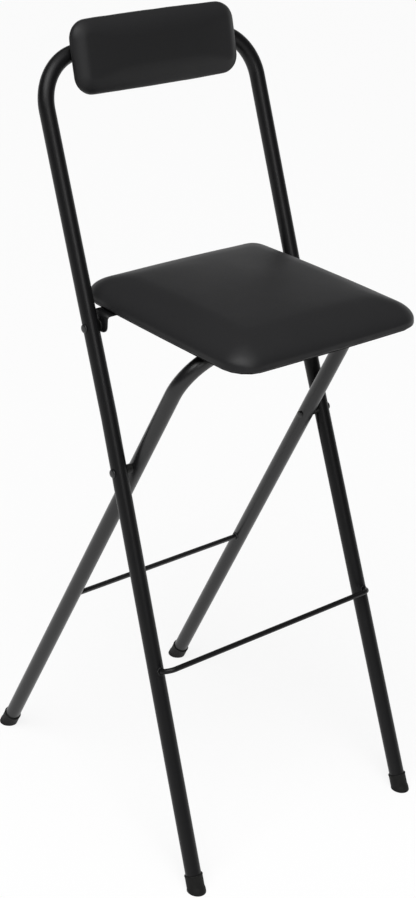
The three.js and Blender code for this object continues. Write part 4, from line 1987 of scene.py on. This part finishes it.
    def build_strip(self) -> None:
        """Builds the angle that hooks over the rear frame's bar."""
        top, thick, radius = self.flange_top, STANCE.strip_thickness, self.strip_bend_radius
        front = self.bar_y - STANCE.tube_radius - STANCE.bar_gap - thick
        rear, low = self.bar_y + self.strip_rear, top - self.strip_lip_drop
        centre = (front + radius, top - radius)
        outline = [
            (rear, top),
            *arc(centre, radius, math.pi / 2, math.pi, self.strip_bend_steps),
            (front, low),
            (front + thick, low),
            *arc(centre, radius - thick, math.pi, math.pi / 2, self.strip_bend_steps),
            (rear, top - thick),
        ]
        lay = Matrix(((0, 0, 1, 0), (1, 0, 0, 0), (0, 1, 0, 0), (0, 0, 0, 1)))
        half = self.half_width - self.strip_end_inset
        node = "seat_stop_strip"
        strip = Piece(f"{node}_coated", SHADED_FRONT_COAT, Body.SEAT, (node,))
        strip.prism(outline, lay, -half, half)
        strip.make(self.place, bevel=self.strip_round, sharp=self.strip_sharp)

    def build_screws(self) -> None:
        """Builds the eight screws that hold the strap and the strip."""
        strap_y = self.strap_width / 2 - self.strap_ahead_of_pivot
        strip_y = self.bar_y + self.strip_rear - self.strip_screw_edge
        strap_z = self.flange_top - STANCE.strap_thickness - STANCE.rest_gap
        strip_z = self.flange_top - STANCE.strip_thickness - STANCE.rest_gap
        strip_end = self.half_width - self.strip_end_inset
        rows = (
            ("strap_screw", self.half_width, self.strap_screw_insets, strap_y, strap_z),
            ("stop_strip_screw", strip_end, self.strip_screw_insets, strip_y, strip_z),
        )
        for row, half, insets, y, z in rows:
            for side in Side:
                for number, inset in enumerate(insets, start=1):
                    seat = Vector((side.value * (half - inset), y, z))
                    name = f"{row}_{side.label}_{number}"
                    self.screw.build(name, Body.SEAT, seat, -Z_AXIS, self.place)

    def build(self) -> None:
        """Builds the whole seat."""
        self.build_cushion()
        self.build_strap()
        self.build_strip()
        self.build_screws()


# The studio


@dataclass(frozen=True)
class SoftBox:
    """A large soft lamp.

    Attributes:
        name: The lamp's name.
        place: Where it hangs, in metres.
        size: Its width and height, in metres.
        watts: Its power.
    """

    name: str
    place: tuple[float, float, float]
    size: tuple[float, float]
    watts: float

    def hang(self, target: Vector) -> None:
        """Hangs the lamp and turns it to a target.

        Args:
            target: The point that it faces.
        """
        lamp = bpy.data.lights.new(self.name, "AREA")
        lamp.shape = "RECTANGLE"
        lamp.size, lamp.size_y = self.size
        lamp.energy = self.watts
        rig = bpy.data.objects.new(self.name, lamp)
        rig.location = self.place
        aim = target - Vector(self.place)
        rig.rotation_euler = aim.to_track_quat("-Z", "Y").to_euler()
        bpy.context.scene.collection.objects.link(rig)


@dataclass(frozen=True)
class Viewpoint:
    """The camera, found by fitting the stool's outlines to the photograph's."""

    place_mm: tuple[float, float, float] = (-1653.838, -1788.679, 1678.059)
    azimuth: float = math.radians(-41.6639)
    elevation: float = math.radians(23.3101)
    roll: float = math.radians(3.4059)
    focal_px: float = 1922.569
    centre_px: tuple[float, float] = (185.0973, 373.4692)
    image_px: tuple[int, int] = (416, 898)
    sensor_mm: float = 36.0

    def set_up(self) -> None:
        """Makes the camera and gives it to the scene."""
        width, height = self.image_px
        lens = bpy.data.cameras.new("camera")
        lens.sensor_width = self.sensor_mm
        lens.lens = self.focal_px * self.sensor_mm / height
        lens.shift_x = (width / 2 - self.centre_px[0]) / height
        lens.shift_y = (self.centre_px[1] - height / 2) / height
        flat = math.cos(self.elevation)
        ahead = -Vector(
            (
                math.sin(self.azimuth) * flat,
                -math.cos(self.azimuth) * flat,
                math.sin(self.elevation),
            )
        )
        right = ahead.cross(Z_AXIS).normalized()
        up = right.cross(ahead)
        right, up = (
            right * math.cos(self.roll) + up * math.sin(self.roll),
            up * math.cos(self.roll) - right * math.sin(self.roll),
        )
        turn = Matrix((right, up, -ahead)).transposed().to_4x4()
        camera = bpy.data.objects.new("camera", lens)
        camera.matrix_world = Matrix.Translation(Vector(self.place_mm) * MM) @ turn
        bpy.context.scene.collection.objects.link(camera)
        bpy.context.scene.camera = camera


@dataclass(frozen=True)
class Studio:
    """A white floor, a pale backdrop behind the stool, a dim room and soft lamps.

    Attributes:
        floor_lift: How much light is added to the floor where it is seen.
        backdrop_way: The way from the stool to the middle of the backdrop.
        backdrop_edge: How closely a direction faces the backdrop where its glow starts and
            where it is full.
        backdrop_height: The rise at which the backdrop's glow ends and is full.
        ceiling_height: The rise at which the ceiling's glow starts and is full.
        sky_softness: The angle that the light from above is spread over.
        lamp_target: The height that the lamps face, in metres.
    """

    floor_colour: str = "#6c6c6c"
    floor_lift: float = 0.84
    floor_size: float = 40.0
    backdrop_way: tuple[float, float, float] = (0.665, 0.747, 0.0)
    backdrop_level: float = 1.0
    backdrop_edge: tuple[float, float] = (0.1, 0.75)
    backdrop_height: tuple[float, float] = (0.45, 0.12)
    room_level: float = 0.05
    ceiling_level: float = 0.6
    ceiling_height: tuple[float, float] = (0.6, 0.95)
    sky_level: float = 2.0
    sky_softness: float = math.radians(50)
    sky_tilt: tuple[float, float] = (math.radians(14), math.radians(-30))
    lamp_target: float = 0.85
    lamps: tuple[SoftBox, ...] = (
        SoftBox("key", (-0.9, -1.3, 3.0), (2.6, 2.6), 27),
        SoftBox("low_front", (-1.05, -2.25, 1.65), (0.9, 0.7), 12),
    )

    def lay_floor(self) -> None:
        """Lays the floor, which shows white and keeps the stool's shadow."""
        material = bpy.data.materials.new("studio_floor")
        tree = clear_tree(material)
        paint = add_node(tree, "BsdfDiffuse", {"Color": linear(self.floor_colour)})
        path = add_node(tree, "LightPath")
        seen = path.outputs["Is Camera Ray"]
        for ray in ("Is Glossy Ray", "Is Transmission Ray"):
            links = {"0": seen, "1": path.outputs[ray]}
            seen = add_node(tree, "Math", {"operation": "MAXIMUM"}, links).outputs[0]
        settings = {"operation": "MULTIPLY", "1": self.floor_lift}
        level = add_node(tree, "Math", settings, {"0": seen}).outputs[0]
        glow = add_node(tree, "Emission", None, {"Strength": level}).outputs["Emission"]
        both = add_node(tree, "AddShader", None, {"0": paint.outputs["BSDF"], "1": glow})
        add_node(tree, "OutputMaterial", None, {"Surface": both.outputs[0]})
        half = self.floor_size / 2
        mesh = bpy.data.meshes.new("studio_floor")
        corners = [(-half, -half, 0), (half, -half, 0), (half, half, 0), (-half, half, 0)]
        mesh.from_pydata(corners, [], [(0, 1, 2, 3)])
        mesh.materials.append(material)
        floor = bpy.data.objects.new("studio_floor", mesh)
        bpy.context.scene.collection.objects.link(floor)

    def paint_room(self) -> None:
        """Paints the room: a pale backdrop and ceiling, and dim walls elsewhere."""
        world = bpy.data.worlds.new("studio_room")
        tree = clear_tree(world)
        way = add_node(tree, "TexCoord").outputs["Generated"]
        height = add_node(tree, "SeparateXYZ", None, {"Vector": way}).outputs["Z"]
        settings = {"operation": "DOT_PRODUCT", "1": self.backdrop_way}
        facing = add_node(tree, "VectorMath", settings, {"0": way}).outputs["Value"]
        across, below, above = (
            add_node(
                tree,
                "MapRange",
                {
                    "interpolation_type": "SMOOTHSTEP",
                    "From Min": start,
                    "From Max": full,
                    "To Max": level,
                },
                {"Value": value},
            ).outputs["Result"]
            for value, (start, full), level in (
                (facing, self.backdrop_edge, 1.0),
                (height, self.backdrop_height, 1.0),
                (height, self.ceiling_height, self.ceiling_level),
            )
        )
        links = {"0": across, "1": below}
        paper = add_node(tree, "Math", {"operation": "MULTIPLY"}, links).outputs[0]
        levels = {"1": self.backdrop_level, "2": self.room_level}
        settings = {"operation": "MULTIPLY_ADD", **levels}
        walls = add_node(tree, "Math", settings, {"0": paper}).outputs[0]
        links = {"0": walls, "1": above}
        whole = add_node(tree, "Math", {"operation": "ADD"}, links).outputs[0]
        back = add_node(tree, "Background", None, {"Strength": whole})
        add_node(tree, "OutputWorld", None, {"Surface": back.outputs[0]})
        bpy.context.scene.world = world

    def hang_sky(self) -> None:
        """Hangs the broad even light from above."""
        lamp = bpy.data.lights.new("overhead", "SUN")
        lamp.energy = self.sky_level
        lamp.angle = self.sky_softness
        rig = bpy.data.objects.new("overhead", lamp)
        rig.rotation_euler = (*self.sky_tilt, 0.0)
        bpy.context.scene.collection.objects.link(rig)

    def build(self) -> None:
        """Builds the floor, the room, the lamps and the camera."""
        self.lay_floor()
        self.paint_room()
        self.hang_sky()
        for lamp in self.lamps:
            lamp.hang(Vector((0, 0, self.lamp_target)))
        Viewpoint().set_up()
        bpy.context.scene.view_settings.view_transform = "Standard"


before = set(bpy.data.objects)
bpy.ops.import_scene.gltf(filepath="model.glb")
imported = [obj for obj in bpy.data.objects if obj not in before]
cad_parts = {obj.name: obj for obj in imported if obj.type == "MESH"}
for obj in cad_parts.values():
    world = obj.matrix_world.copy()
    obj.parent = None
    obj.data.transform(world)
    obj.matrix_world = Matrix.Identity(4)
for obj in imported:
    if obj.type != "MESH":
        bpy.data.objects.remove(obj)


def main() -> None:
    """Builds the stool and its studio."""
    logging.basicConfig(level=logging.INFO, format="%(message)s")
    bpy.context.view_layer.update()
    FrontFrame().build()
    RearFrame().build()
    Pivots().build()
    Backrest().build()
    Seat().build()
    Studio().build()
    bpy.context.view_layer.update()


if __name__ == "__main__":
    main()
